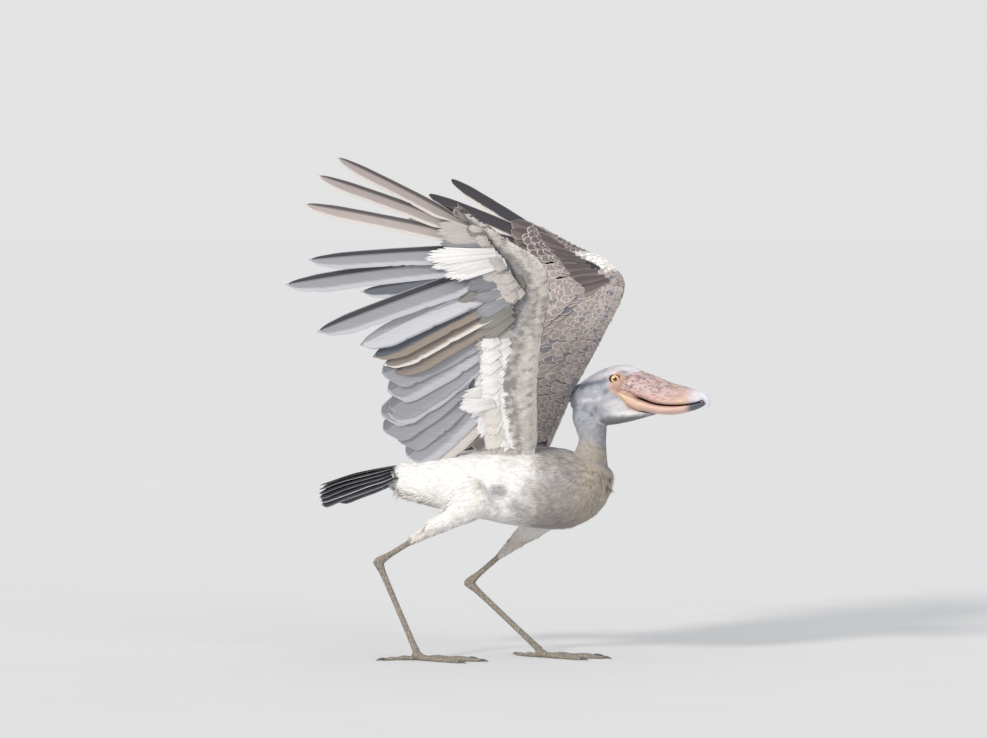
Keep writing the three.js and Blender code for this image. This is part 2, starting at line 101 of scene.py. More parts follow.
UPPER_BILL_ROWS = [
    [195, 124, 99, 48], [204, 134, 97, 52], [214, 141, 93, 54], [226, 145, 87, 54.5], [246, 140, 79, 55],
    [280, 125, 68, 55], [318, 112, 65, 51], [350, 105, 67, 41], [374, 99, 72, 27], [388, 93, 78, 13],
]
NAIL_ROWS = [
    [356, 0, 86, 26, 15], [376, 0, 87, 20, 12], [389, 0, 83, 13, 10], [396, 0, 74, 8, 7],
    [397, 0, 64, 4.5, 4.5], [394, 0, 56, 1.2, 1.2],
]
KEEL_ROWS = [
    [226, 0, 142, 8, 7], [262, 0, 130, 9, 6], [310, 0, 112, 9, 5.5], [352, 0, 101, 9, 6],
    [384, 0, 91, 7, 5],
]
LOWER_BILL_ROWS = [
    [180, 99, 90, 44], [196, 96.5, 76, 52], [214, 91.5, 60, 54], [235, 82.5, 50, 54], [246, 78, 49, 53],
    [280, 68, 43, 51], [316, 65, 42, 47], [350, 67, 49, 37], [374, 72, 57, 23], [389, 75, 65, 9],
]
# Where the coat ends and the bill starts: heights, and how far forward the edge is at each
BILL_EDGE = [
    [44, 49, 57, 75, 97, 104, 122, 134, 141, 147], [300, 238, 213, 200, 186, 196, 199, 206, 224, 244],
]
RUMP_ROWS = [
    [-330, 0, -104, 30, 30], [-352, 0, -108, 29, 26], [-384, 0, -114, 25, 16], [-416, 0, -119, 18, 8],
]
EYE_CENTRE = (179, 37.5, 127)
EYE_RADIUS = 12.5
# The skin round an eye is bare as far as this
BARE_RADIUS = 16.5
NOSTRIL = (250, 14, 136)

SHOULDER_HALF = 78
WING_RAISE = {"right": 59.6, "left": 56.4}
HAND_SWEEP = {"right": 42.4, "left": 55}
WRIST = (412, -78)
# How far along the wing and behind the shoulder each edge lies, the leading one first, and the thickness
ARM_ROWS = [
    [-38, 8, -38, 92, 50], [40, -4, 40, 112, 44], [127, -16, 130, 118, 36], [210, -36, 216, 108, 28],
    [300, -60, 284, 66, 22], [366, -82, 340, 22, 19], [427, -90, 390, -2, 17],
]
# How finely the arm is read for places on it and for chords
ARM_STEPS = 200
CHORD_STEPS = 121
# Over the long feathers, behind the arm, a chord of one more is this far, at these heights
BEYOND_STEP = 60
BEYOND_LIFT = (18, 15)
EDGE_LIFT = 12
# The far wing's small feathers are ruffled forward over its leading edge
FORE_REACH = {"right": 0, "left": 26}
FORE_SHARES = (0, 0.25, 0.6, 0.9, 1, 0.9, 0.55)
HAND_ROWS = [
    [60, -44, 91, 58, 14], [143, -30, 159, 36, 11], [222, -21, 223, 16, 8], [262, -15, 260, 0, 4],
]
VANE_TWIST = 12
PRIMARY_ANGLE = [121, 119.5, 118, 115.3, 109.1, 96.4, 91.4, 74.1, 63.8, 54.9]
PRIMARY_LENGTH = [472, 476, 480, 482, 554, 567, 479, 462, 426, 381]
PRIMARY_WIDTH = [60, 62, 64, 68, 62, 58, 50, 42, 40, 38]
PRIMARY_STEP = 20.5
# Rows of long feathers: how many, and their lengths, angles and widths from first to last
SECONDARIES = {"count": 6, "length": (436, 342), "angle": (120, 125), "width": (94, 88)}
TERTIALS = {"count": 3, "length": (350, 275), "angle": (126.5, 129), "width": (86, 76)}
ARM_COVERTS = {"count": 15, "length": (118, 108), "angle": (114, 118), "width": (44, 44)}
HAND_COVERTS = {"count": 10, "length": (165, 150), "angle": (110, 62), "width": (50, 46)}
# The colours of the arm's upper feathers
ASH = dict(top="over_wing", under="under_wing", lead=0.1, rim=0.5, edge="covert_rim")
# How full a feather is at shares of its length
LONG_VANE = [[0, 0.12], [0.14, 0.3], [0.3, 0.95], [0.84, 0.84], [0.965, 0.45], [1, 0.06]]
BLUNT_VANE = [[0, 0.12], [0.14, 0.3], [0.3, 0.9], [0.6, 1], [0.9, 0.9], [0.97, 0.7], [1, 0.4]]
SHORT_VANE = [[0, 0.35], [0.35, 0.95], [0.7, 1], [0.9, 0.7], [1, 0.08]]
TAIL_COUNT = 12

LEGS = {
    "right": {"knee": (-150, -72, -164), "ankle": (-401, -78, -318), "foot": (-302, -80, -536)},
    "left": {"knee": (0, 72, -188), "ankle": (-222, 80, -375), "foot": (-42, 84, -536)},
}
# Each toe's turn from straight ahead, its length and its half width
TOES = {"hind": (172, 82, 6.5), "inner": (-27, 128, 7), "middle": (0, 158, 7.5), "outer": (27, 134, 7)}
# Half widths and half depths of a leg at shares of the way along its bones
SHIN_SHARES = [
    (-0.12, 40, 52), (0.06, 38, 46), (0.24, 29, 36), (0.42, 20, 26), (0.56, 13, 16), (0.66, 9.5, 10.5),
]
BARE_SHIN_SHARES = [(0.55, 7, 7), (0.86, 7, 7), (0.96, 9.5, 10.4), (1.01, 9.5, 10.4), (1.04, 4.7, 5.7)]
FOOT_BONE_SHARES = [
    (-0.02, 8, 9), (0.04, 9.5, 10.9), (0.14, 7.3, 8), (0.5, 6.6, 7), (0.88, 7.6, 7.7), (0.98, 9, 9),
    (1.0, 8, 8),
]
# The ball of a foot: how far ahead of the foot's middle, how high, half width and half depth
BALL_ROWS = [(-12, 10, 6, 6), (-4, 11, 12, 11), (5, 10.5, 12, 10), (14, 9, 6, 6)]
CLAW_LENGTH = 21
# A claw: shares of its length, heights over the floor, half widths and half depths
CLAW_ROWS = [(-0.1, 4.2, 2.9, 3.4), (0.3, 4.5, 2.7, 3.1), (0.7, 3.3, 1.8, 2.0), (1.0, 1.3, 0.5, 0.5)]
# Bones and folds of the head, the same on both sides: ahead, out, up, half width and half depth
BROW_ROWS = [
    (206, 37, 137, 4, 4), (194, 42, 141, 6, 5), (180, 43, 141, 6.5, 5), (164, 43, 137, 5, 4),
    (150, 42, 131, 3, 3),
]
CHEEK_ROWS = [
    (208, 40, 84, 6, 7), (192, 45, 80, 9, 11), (172, 46, 74, 11, 15), (150, 43, 68, 11, 16),
    (128, 37, 62, 8, 12),
]
# Rings of the lids, from outside in: radius, height over the ball's middle and darkness
LID_ROWS = [
    (18.0, 0.4, 0.0), (16.6, 2.4, 0.1), (15.2, 3.0, 0.1), (14.0, 4.4, 0.35), (12.8, 6.0, 0.75),
    (11.6, 7.4, 1.0), (10.6, 8.4, 1.0), (9.9, 8.7, 1.0), (9.5, 8.1, 1.0), (9.9, 6.4, 1.0),
    (12.0, 2.4, 0.6), (15.5, -1.5, 0.0),
]

# Widths of a strand at shares of its length, for pointed and for blunt small feathers
POINTED_RINGS = ((0, 0.6), (0.55, 1))
BLUNT_RINGS = ((0, 0.6), (0.5, 1.1), (0.93, 0.95))
# The strands of each kind of small feather: how many, how they spread and their outline
LOCKS = {
    "lock": dict(strands=8, fan=0.26, arch=0.035, seed=60, spread=0.5, root=0.2, crown=0.3),
    "fine lock": dict(strands=4, fan=0.3, arch=0.1, seed=80),
    "tuft lock": dict(strands=6, fan=0.22, arch=0.16, seed=90),
    "wing lock": dict(strands=5, fan=0.24, arch=0.06, seed=66, spread=0.66, root=0.24, crown=0.34),
    "soft covert": dict(
        strands=9, fan=0.3, arch=0.05, seed=55, spread=0.66, root=0.14, crown=0.36, rings=BLUNT_RINGS,
    ),
    "lobe": dict(
        strands=21, fan=0.26, arch=0.07, seed=45, spread=0.74, root=0.2, crown=0.3, rings=BLUNT_RINGS,
    ),
}
PATTERN_KINDS = 3
# A coat's depth brings a form in by at most this share of its half width or thickness
MOST_INSET = 0.3
# Places tried for each small feather that would fit
TRIES = 4


def mix(start, end, share):
    """The value that share of the way from start to end."""
    return start + (end - start) * share


def unit(vectors):
    """Vectors brought to length one."""
    vectors = np.asarray(vectors, float)
    return vectors / np.maximum(np.linalg.norm(vectors, axis=-1, keepdims=True), 1e-9)


def ease(values, low, high):
    """0 below low, 1 above high and a soft step between."""
    share = np.clip((np.asarray(values, float) - low) / (high - low), 0, 1)
    return share * share * (3 - 2 * share)


def mottle(places, size, seed=0):
    """Soft random blotches of about that size in mm, from -1 to 1."""
    shift = Vector((seed * 7.3, seed * 3.1, seed * 5.7))
    return np.array([noise.noise(Vector(p) / size + shift) for p in np.asarray(places)]) * 1.6


def blend_colours(first, second, share):
    """Colours mixed point by point. share has one value for each point."""
    share = np.clip(np.asarray(share, float), 0, 1)[..., None]
    return np.asarray(first) * (1 - share) + np.asarray(second) * share


def layered(shade, *layers):
    """A colour with others laid over it in turn, each by its share."""
    for colour, share in layers:
        shade = blend_colours(shade, colour, share)
    return shade


def refined(rows, count):
    """More rows on a smooth curve through the given ones."""
    rows = np.array(rows, float)
    place = np.linspace(0, len(rows) - 1, count)
    i = np.minimum(place.astype(int), len(rows) - 2)
    t = (place - i)[:, None]

    def row(k):
        return rows[np.clip(k, 0, len(rows) - 1)]

    p0, p1, p2, p3 = row(i - 1), row(i), row(i + 1), row(i + 2)
    slope1, slope2 = (p2 - p0) / 2, (p3 - p1) / 2
    return (
        (2 * t**3 - 3 * t**2 + 1) * p1 + (t**3 - 2 * t**2 + t) * slope1
        + (3 * t**2 - 2 * t**3) * p2 + (t**3 - t**2) * slope2
    )


def trunk(rows, sides, count, depth=0.0, waist=0.5, squareness=1.0):
    """Rings along X from rows of x, top, bottom and half width, brought in by depth."""
    a = np.arange(sides) * 2 * math.pi / sides
    across = np.sign(np.cos(a)) * np.abs(np.cos(a)) ** squareness
    up = np.sign(np.sin(a)) * np.abs(np.sin(a)) ** squareness
    rings = []
    for x, top, bottom, half in refined(rows, count):
        level = mix(bottom, top, waist)
        reach = np.where(up > 0, top - level, level - bottom)
        inset = min(depth, MOST_INSET * half)
        rings.append(np.stack(
            [np.full(sides, x), across * (half - inset), level + up * (reach - inset)], axis=1
        ))
    rings[0][:, 0] += depth
    rings[-1][:, 0] -= depth
    return np.array(rings)


def limb(rows, sides, count, depth=0.0):
    """Rings square to a path, from rows of x, y, z, half width and half depth."""
    places = refined(rows, count)
    path = places[:, :3]
    ahead = np.vstack([path[1:], path[-1:]])
    behind = np.vstack([path[:1], path[:-1]])
    along = unit(ahead - behind)
    side = unit(np.array([0, 1, 0]) - along * along[:, 1:2])
    up = np.cross(along, side)
    a = 2 * math.pi * (np.arange(sides) + 0.5) / sides
    wide, deep = (places[:, k] - np.minimum(depth, MOST_INSET * places[:, k]) for k in (3, 4))
    return (
        path[:, None]
        + side[:, None] * (np.cos(a)[None] * wide[:, None])[..., None]
        + up[:, None] * (np.sin(a)[None] * deep[:, None])[..., None]
    )


def tube(rings):
    """A closed shape from rings: its corners and faces."""
    count, sides = rings.shape[:2]
    corners = np.vstack([rings.reshape(-1, 3), rings[0].mean(0), rings[-1].mean(0)])
    faces = []
    for i in range(count - 1):
        for k in range(sides):
            a, b = i * sides + k, i * sides + (k + 1) % sides
            faces.append((a, b, b + sides, a + sides))
    start, end = count * sides, count * sides + 1
    for k in range(sides):
        after = (k + 1) % sides
        faces.append((start, after, k))
        faces.append((end, (count - 1) * sides + k, (count - 1) * sides + after))
    return corners, faces


def gathered(shapes):
    """Several shapes as one list of corners and one of faces."""
    corners, faces, start = [], [], 0
    for shape_corners, shape_faces in shapes:
        corners.append(np.asarray(shape_corners, float))
        faces += [tuple(start + k for k in face) for face in shape_faces]
        start += len(shape_corners)
    return np.vstack(corners), faces


def in_metres(places):
    """Places in mm from the shoulders as places in the frame."""
    return np.asarray(places) * MM + ORIGIN


def set_places(mesh, places):
    mesh.vertices.foreach_set("co", in_metres(places).ravel())


def turn_outwards(mesh):
    """Turns the faces of the mesh's closed surfaces outwards."""
    work = bmesh.new()
    work.from_mesh(mesh)
    bmesh.ops.recalc_face_normals(work, faces=work.faces)
    work.to_mesh(mesh)
    work.free()


def new_mesh(name, corners, faces):
    """A mesh in metres from corners in mm, its closed surfaces turned outwards."""
    mesh = bpy.data.meshes.new(name)
    mesh.from_pydata(in_metres(corners).tolist(), [], faces)
    mesh.validate()
    turn_outwards(mesh)
    mesh.shade_smooth()
    return mesh


def new_piece(name, mesh, material=None):
    """An object of that name that shows the mesh."""
    mesh.name = name
    piece = bpy.data.objects.new(name, mesh)
    bpy.context.scene.collection.objects.link(piece)
    if material:
        mesh.materials.clear()
        mesh.materials.append(material)
    return piece


def give(mesh, name, values):
    """Writes one value for each corner of the mesh: a tint, a vector, a whole number or a number."""
    values = np.asarray(values)
    field = "value"
    if name.endswith("tint"):
        kind, field = "FLOAT_COLOR", "color"
        values = np.hstack([np.clip(values[:, :3], 0, 1), np.ones((len(values), 1))])
    elif values.ndim == 2:
        kind, field = "FLOAT_VECTOR", "vector"
    elif np.issubdtype(values.dtype, np.integer):
        kind = "INT"
    else:
        kind = "FLOAT"
    stored = np.int32 if kind == "INT" else np.float32
    layer = mesh.attributes.new(name, kind, "POINT")
    layer.data.foreach_set(field, values.astype(stored).ravel())


def give_map(mesh, spots):
    """Writes the mesh's map, one place for each face corner."""
    layer = mesh.uv_layers.new(name=BAKE_MAP)
    layer.data.foreach_set("uv", spots.astype(np.float32).ravel())


def read(items, field, width=1, kind=float):
    """One field of all the mesh's corners, faces or face corners as an array."""
    found = np.zeros(len(items) * width, kind)
    items.foreach_get(field, found)
    return found.reshape(-1, width) if width > 1 else found


def places_of(mesh):
    """The mesh's corners in mm from the shoulders."""
    return (read(mesh.vertices, "co", 3) - ORIGIN) / MM


def worked(piece):
    """The piece's mesh with its modifiers done. The piece itself is taken away."""
    bpy.context.view_layer.update()
    graph = bpy.context.evaluated_depsgraph_get()
    mesh = bpy.data.meshes.new_from_object(piece.evaluated_get(graph))
    bpy.data.objects.remove(piece)
    return mesh


def fused(name, forms, voxel, rounds):
    """Closed forms fused into one even skin. A form is the rings of a tube."""
    piece = new_piece(name, new_mesh(name, *gathered([tube(rings) for rings in forms])))
    remesh = piece.modifiers.new("even", "REMESH")
    remesh.mode = "VOXEL"
    remesh.voxel_size = voxel * MM
    remesh.use_smooth_shade = True
    smooth = piece.modifiers.new("soft", "SMOOTH")
    smooth.factor = 0.5
    smooth.iterations = rounds
    mesh = worked(piece)
    mesh.shade_smooth()
    return mesh


def dress(piece, replaced):
    """Fixes a finished piece to the bird's one body."""
    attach(piece, "root")
    if replaced:
        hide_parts(*replaced)


# Materials


def feed(tree, socket, value):
    """Gives a socket its value, or a link from the socket that makes it."""
    if isinstance(value, bpy.types.NodeSocket):
        tree.links.new(value, socket)
    elif socket.type == "RGBA":
        socket.default_value = (*tuple(value)[:3], 1)
    else:
        socket.default_value = value


def add_node(tree, kind, inputs=(), **settings):
    """Adds a node. inputs holds pairs of a socket's name or number and its value or source."""
    node = tree.nodes.new(kind)
    for name, value in settings.items():
        setattr(node, name, value)
    for socket, value in dict(inputs).items():
        feed(tree, node.inputs[socket], value)
    return node


class Surface:
    """A material's nodes, added one by one."""

    def __init__(self, name, roughness, **values):
        self.material = bpy.data.materials.new(name)
        self.material.use_nodes = True
        self.tree = self.material.node_tree
        self.shader = self.tree.nodes["Principled BSDF"]
        self.shader.inputs["Roughness"].default_value = roughness
        for socket, value in values.items():
            self.shader.inputs[socket.replace("_", " ")].default_value = value

    def node(self, kind, inputs=(), **settings):
        return add_node(self.tree, kind, inputs, **settings)

    def own(self, name):
        """The piece's own value or tint of that name."""
        output = "Color" if name.endswith("tint") else "Fac"
        return self.node("ShaderNodeAttribute", attribute_name=name).outputs[output]

    def place(self):
        return self.node("ShaderNodeTexCoord").outputs["Object"]

    def stretched(self, vector, scale):
        return self.node("ShaderNodeMapping", {"Vector": vector, "Scale": scale}).outputs[0]

    def noise(self, scale, detail=3.0, roughness=0.5, vector=None):
        """Soft noise. Its scale is one number, or one for each axis where the grain runs one way."""
        vector = vector or self.place()
        if isinstance(scale, tuple):
            vector, scale = self.stretched(vector, scale), 1
        found = {"Vector": vector, "Scale": scale, "Detail": detail, "Roughness": roughness}
        return self.node("ShaderNodeTexNoise", found).outputs["Fac"]

    def cell_edges(self, scale):
        """The distance from the edges of rounded cells."""
        found = {"Vector": self.stretched(self.place(), scale), "Scale": 1}
        return self.node("ShaderNodeTexVoronoi", found, feature="DISTANCE_TO_EDGE").outputs["Distance"]

    def math(self, operation, *values):
        return self.node("ShaderNodeMath", enumerate(values), operation=operation).outputs[0]

    def plus(self, first, second):
        return self.math("ADD", first, second)

    def times(self, first, second):
        return self.math("MULTIPLY", first, second)

    def step(self, value, low, high, start=0.0, end=1.0):
        """A soft step from start, at low, to end, at high."""
        found = {"Value": value, "From Min": low, "From Max": high, "To Min": start, "To Max": end}
        return self.node("ShaderNodeMapRange", found, interpolation_type="SMOOTHSTEP").outputs[0]

    def mixed(self, share, first, second):
        """The first colour turned to the second one by a share. Its sockets go by their numbers."""
        found = {0: share, 6: first, 7: second}
        return self.node("ShaderNodeMix", found, data_type="RGBA").outputs[2]

    def scaled(self, colour, factor):
        """A colour times a value."""
        return self.node("ShaderNodeVectorMath", {0: colour, "Scale": factor}, operation="SCALE").outputs[0]

    def bump(self, height, strength, distance):
        found = {"Height": height, "Strength": strength, "Distance": distance}
        feed(self.tree, self.shader.inputs["Normal"], self.node("ShaderNodeBump", found).outputs[0])

    def colour(self, value):
        """Gives the material its colour and hands it over, finished."""
        feed(self.tree, self.shader.inputs["Base Color"], value)
        return self.material


def plumage_surface():
    """Soft body feathers in their own colour, with painted shade that darkens each strand towards its root,
    so they are paler at the tips.
    """
    surface = Surface("body plumage", 0.85, Specular_IOR_Level=0.2, Sheen_Weight=0.15, Sheen_Roughness=0.5)
    # Painted shade: each strand is darker towards its root, where other feathers lie over it
    shade = surface.step(surface.own("tip"), 0.0, 0.7, 0.8, 1.0)
    fine = surface.step(surface.noise(160, 2), 0.2, 0.8, 0.86, 0.94)
    vary = surface.plus(surface.times(surface.own("strand"), 0.14), fine)
    return surface.colour(surface.scaled(surface.own("tint"), surface.times(shade, vary)))


def skin_surface():
    """The down and skin under the coat, in the coat's own markings."""
    surface = Surface("down and skin", 0.9, Specular_IOR_Level=0.15)
    fine = surface.noise((90, 300, 300), 4)
    surface.bump(fine, 0.3, 0.002)
    return surface.colour(surface.scaled(surface.own("tint"), surface.step(fine, 0.3, 0.7, 0.78, 0.96)))


def vane_surface():
    """A feather's two webs: barbs, shaft, darker narrow web and paler rim."""
    surface = Surface("feather vanes", 0.55, Specular_IOR_Level=0.35, Sheen_Weight=0.1)
    across, along = surface.own("across"), surface.own("along")
    far = surface.math("ABSOLUTE", across)
    slant = surface.plus(surface.times(along, surface.own("reach")), surface.times(far, 11.0))
    row = surface.node("ShaderNodeCombineXYZ", {
        "X": surface.times(far, 0.7), "Y": slant, "Z": surface.own("chance"),
    })
    barbs = surface.noise((1.0, 3.2, 40.0), 4, 0.6, row.outputs[0])
    fine = surface.math("SINE", surface.times(slant, 9.0))
    vary = surface.plus(surface.step(barbs, 0.25, 0.75, 0.86, 1.07), surface.times(fine, 0.02))
    narrow = surface.times(surface.step(across, 0.03, 0.14), surface.own("lead"))
    shade = surface.mixed(narrow, surface.own("tint"), surface.own("dark_tint"))
    edge = surface.plus(far, surface.times(surface.step(barbs, 0.3, 0.7, -1, 1), 0.04))
    edge = surface.plus(edge, surface.own("wide_rim"))
    tip_start, tip_full = (
        surface.math("SUBTRACT", 1.0, surface.times(surface.own("tip_rim"), share)) for share in (1.0, 0.45)
    )
    edge = surface.math("MAXIMUM", edge, surface.step(along, tip_start, tip_full))
    rim = surface.times(surface.step(edge, 0.78, 0.98), surface.own("rim"))
    shade = surface.scaled(surface.mixed(rim, shade, surface.own("rim_tint")), vary)
    shaft = surface.times(surface.step(far, 0.06, 0.02), 0.6)
    surface.bump(surface.plus(surface.times(fine, 0.4), barbs), 0.22, 0.0012)
    return surface.colour(surface.mixed(shaft, shade, surface.own("shaft_tint")))


def bill_surface(colours, lower):
    """Mottled horn: yellowish pink, with violet grey speckles above and a pale hooked nail, and painted shade
    in the crease between its halves and inside the nostrils.
    """
    surface = Surface("bill horn", 0.42, Specular_IOR_Level=0.45, Coat_Weight=0.12, Coat_Roughness=0.35)
    x, _, z = surface.node("ShaderNodeSeparateXYZ", {0: surface.place()}).outputs
    ahead, level = ORIGIN[0], ORIGIN[2]
    specks = surface.noise((150, 260, 260), 4, 0.7)
    if lower:
        layers = (
            (surface.step(z, level + 0.072, level + 0.048), colours.bill_pink),
            (surface.times(surface.step(specks, 0.58, 0.7), 0.3), colours.bill_blotch),
            (surface.step(x, ahead + 0.346, ahead + 0.366), colours.bill_tip),
        )
    else:
        high = surface.step(z, level + 0.070, level + 0.108)
        rear = surface.step(x, ahead + 0.37, ahead + 0.28)
        flush = surface.step(surface.noise((30, 60, 60)), 0.5, 0.66)
        dots = surface.step(specks, 0.5, 0.6)
        blots = surface.step(surface.noise((50, 90, 90), 4, 0.65), 0.48, 0.62)
        grime = surface.plus(surface.times(dots, 0.8), surface.times(blots, 0.6))
        for where in (high, rear):
            grime = surface.times(grime, surface.plus(surface.times(where, 0.6), 0.4))
        layers = (
            (surface.times(high, 0.5), colours.bill_grey),
            (surface.times(flush, 0.45), colours.bill_flush),
            (grime, colours.bill_blotch),
            (surface.step(x, ahead + 0.345, ahead + 0.38), colours.bill_nail),
        )
    body = surface.mixed(surface.step(surface.noise(28), 0.35, 0.65), colours.bill_yellow, colours.bill_pink)
    for share, colour in layers:
        body = surface.mixed(share, body, colour)
    streaks = surface.noise((25, 160, 160), 4, 0.6)
    surface.bump(streaks, 0.3, 0.001)
    body = surface.scaled(body, surface.step(streaks, 0.25, 0.75, 0.88, 1.06))
    # Painted shade: dark in the crease between the bill's halves and inside the nostrils
    return surface.colour(surface.mixed(surface.own("mouth"), body, colours.bill_crease_shade))


def leg_surface(colours):
    """Bare leg skin in small scales."""
    surface = Surface("leg scales", 0.6, Specular_IOR_Level=0.35)
    edges = surface.cell_edges((150, 150, 110))
    body = surface.mixed(surface.noise(40, 4), colours.leg_grey, colours.leg_tan)
    surface.bump(surface.step(edges, 0.0, 0.22), 0.7, 0.0012)
    return surface.colour(surface.scaled(body, surface.step(edges, 0.0, 0.2, 0.6, 1.05)))


def claw_surface(colours):
    """Dark horn with fine lengthwise lines."""
    surface = Surface("claw horn", 0.35, Specular_IOR_Level=0.5, Coat_Weight=0.2, Coat_Roughness=0.3)
    lines = surface.noise((60, 500, 500))
    surface.bump(lines, 0.3, 0.0004)
    return surface.colour(surface.scaled(surface.mixed(lines, colours.claw, colours.leg_grey), 0.8))


def eye_surface(colours):
    """A pale iris round a black pupil, with a dark rim, under a wet clear coat."""
    surface = Surface("eye", 0.08, Specular_IOR_Level=0.6, Coat_Weight=1.0, Coat_Roughness=0.02)
    off = surface.own("off_axis")
    spokes = surface.noise((900, 900, 900), 2)
    iris = surface.mixed(surface.step(off, 4.4, 8.8), colours.iris_inner, colours.iris_outer)
    iris = surface.scaled(iris, surface.step(spokes, 0.3, 0.7, 0.85, 1.1))
    iris = surface.mixed(surface.step(off, 4.9, 4.4), iris, (0.004, 0.004, 0.005))
    return surface.colour(surface.mixed(surface.step(off, 9.0, 9.9), iris, (0.012, 0.01, 0.01)))


def lid_surface(colours):
    """Bare wrinkled skin round the eye, dark at the lids' edges."""
    surface = Surface("eyelid skin", 0.5, Specular_IOR_Level=0.35)
    fine = surface.noise(500)
    surface.bump(fine, 0.4, 0.0006)
    body = surface.mixed(fine, colours.lid, colours.head_grey)
    return surface.colour(surface.mixed(surface.own("rim_dark"), body, colours.lid_edge))


# Markings


def body_markings(places, part, colours):
    """The plumage colour at places in mm, for one part of the bird."""
    broad, fine = mottle(places, 46, 1), mottle(places, 15, 2)
    if part.startswith("wing"):
        return wing_markings(places, WingFrame(part.split("_")[1]), broad, fine, colours)
    markings = {"torso": torso_markings, "neck": neck_markings, "head": head_markings}
    if part in markings:
        return markings[part](places, broad, fine, colours)
    if part == "rump":
        return blend_colours(colours.white, colours.cream, ease(broad, 0.0, 1.0) * 0.6)
    thigh = blend_colours(colours.white, colours.cream, ease(broad + 0.4 * fine, -0.3, 0.9) * 0.5)
    return blend_colours(thigh, colours.buff, ease(-places[:, 2], 205, 290) * 0.6)


def torso_markings(places, broad, fine, colours):
    """White flank, warm grey chest, a grey patch before the thigh and a slate back, with painted shade in
    buff along the belly's underside and in brown under the tail.
    """
    x, _, z = places.T
    flank = layered(
        colours.white,
        (colours.cream, ease(broad, 0.1, 1.3) * 0.35),
        (colours.body_grey, ease(fine + 0.3 * broad, 0.55, 1.3) * 0.16),
    )
    chest = layered(
        colours.body_grey,
        (colours.buff, ease(fine + broad, -0.6, 0.8) * 0.45),
        (colours.slate, ease(broad + 0.9 * fine, 0.35, 1.3) * 0.5),
        (colours.buff, ease(x + 18 * broad, 84, 142) * 0.75),
    )
    front = ease(x + 30 * broad + 12 * fine - 0.2 * (z + 120), -66, 58)
    patch = ease(-np.hypot((x + 70) / 46, (z - 0.3 * (x + 70) + 142) / 24) + 0.35 * broad, -1.15, -0.4)
    under = ease(-x, 215, 300) * ease(-z + 10 * broad, 142, 178)
    back = ease(z + 6 * broad, -62, -46) * ease(x, -190, -60)
    return layered(
        flank,
        (chest, front),
        (blend_colours(colours.body_grey, colours.slate, 0.4 + 0.3 * fine), patch * 0.8),
        # Painted shade: buff darkening along the underside of the belly
        (colours.buff, ease(-z + 8 * fine, 196, 232) * ease(-x, 30, 110) * 0.45),
        # Painted shade: brownish grey under the tail
        (colours.under_tail, under * 0.7),
        (blend_colours(colours.slate, colours.body_grey, ease(fine, -0.8, 0.5)), back * 0.85),
    )


def neck_markings(places, broad, fine, colours):
    """Warm buff below, blue grey above, a shaded throat and a few slate feathers."""
    x, _, z = places.T
    return layered(
        colours.buff,
        (colours.body_grey, ease(broad + 0.3 * fine, -0.7, 0.9)),
        (colours.head_grey, ease(z + 12 * broad + 6 * fine, -58, 34)),
        (colours.throat, ease(x + 0.35 * z, 132, 152) * ease(z, -20, 12) * 0.5),
        (colours.slate, ease(-fine, 0.4, 1.2) * 0.2),
    )


def head_markings(places, broad, fine, colours):
    """Pale crown, partly painted light on the head's top; slate streak behind the eye, mottled cheek, bare
    pinkish face, dark throat and painted shade on the nape.
    """
    x, _, z = places.T
    streak = np.interp(x, [60, 88, 164], [96, 108, 122])
    pale = ease(-np.hypot((x - 205) / 52, (z - 56) / 24) + 0.2 * fine, -1.25, -0.5)
    crown = blend_colours(colours.crown, colours.head_grey, ease(fine, 0.1, 1.0) * 0.35)
    line = np.exp(-(((z - streak - 1) / 6.5) ** 2)) * ease(-x, -172, -158)
    bare = blend_colours(colours.face, colours.lid, ease(fine, -0.2, 0.8) * 0.6)
    face = ease(-np.hypot((x - 190) / 25, (z - 117) / 29) + 0.08 * fine, -1.1, -0.75)
    brow = np.exp(-(((x - 203) / 13) ** 2) - ((z - 143 - 0.25 * (203 - x)) / 3.2) ** 2)
    throat = ease(-z + 3 * fine, -46, -34) * ease(x, 140, 165)
    nape = ease(-x, -98, -72) * ease(-z + 8 * broad, -100, -76)
    return layered(
        colours.head_grey,
        (colours.slate, ease(fine + 0.5 * broad, 0.1, 1.1) * 0.75),
        (colours.white, ease(-fine, 0.2, 1.1) * 0.4),
        (colours.white, pale * 0.75),
        # Painted light: the crown above the streak is drawn paler, partly its own lavender grey and partly
        # light on the top of the head
        (crown, ease(z - streak + 3 * fine, 3, 16)),
        (colours.slate, line * 0.8),
        (bare, face * 0.9),
        (colours.lid_edge, brow * 0.6),
        (colours.throat, throat * 0.85),
        (colours.bill_pink, bill_zone(places)),
        # Painted shade: slate over the nape
        (colours.slate, nape * 0.4),
    )


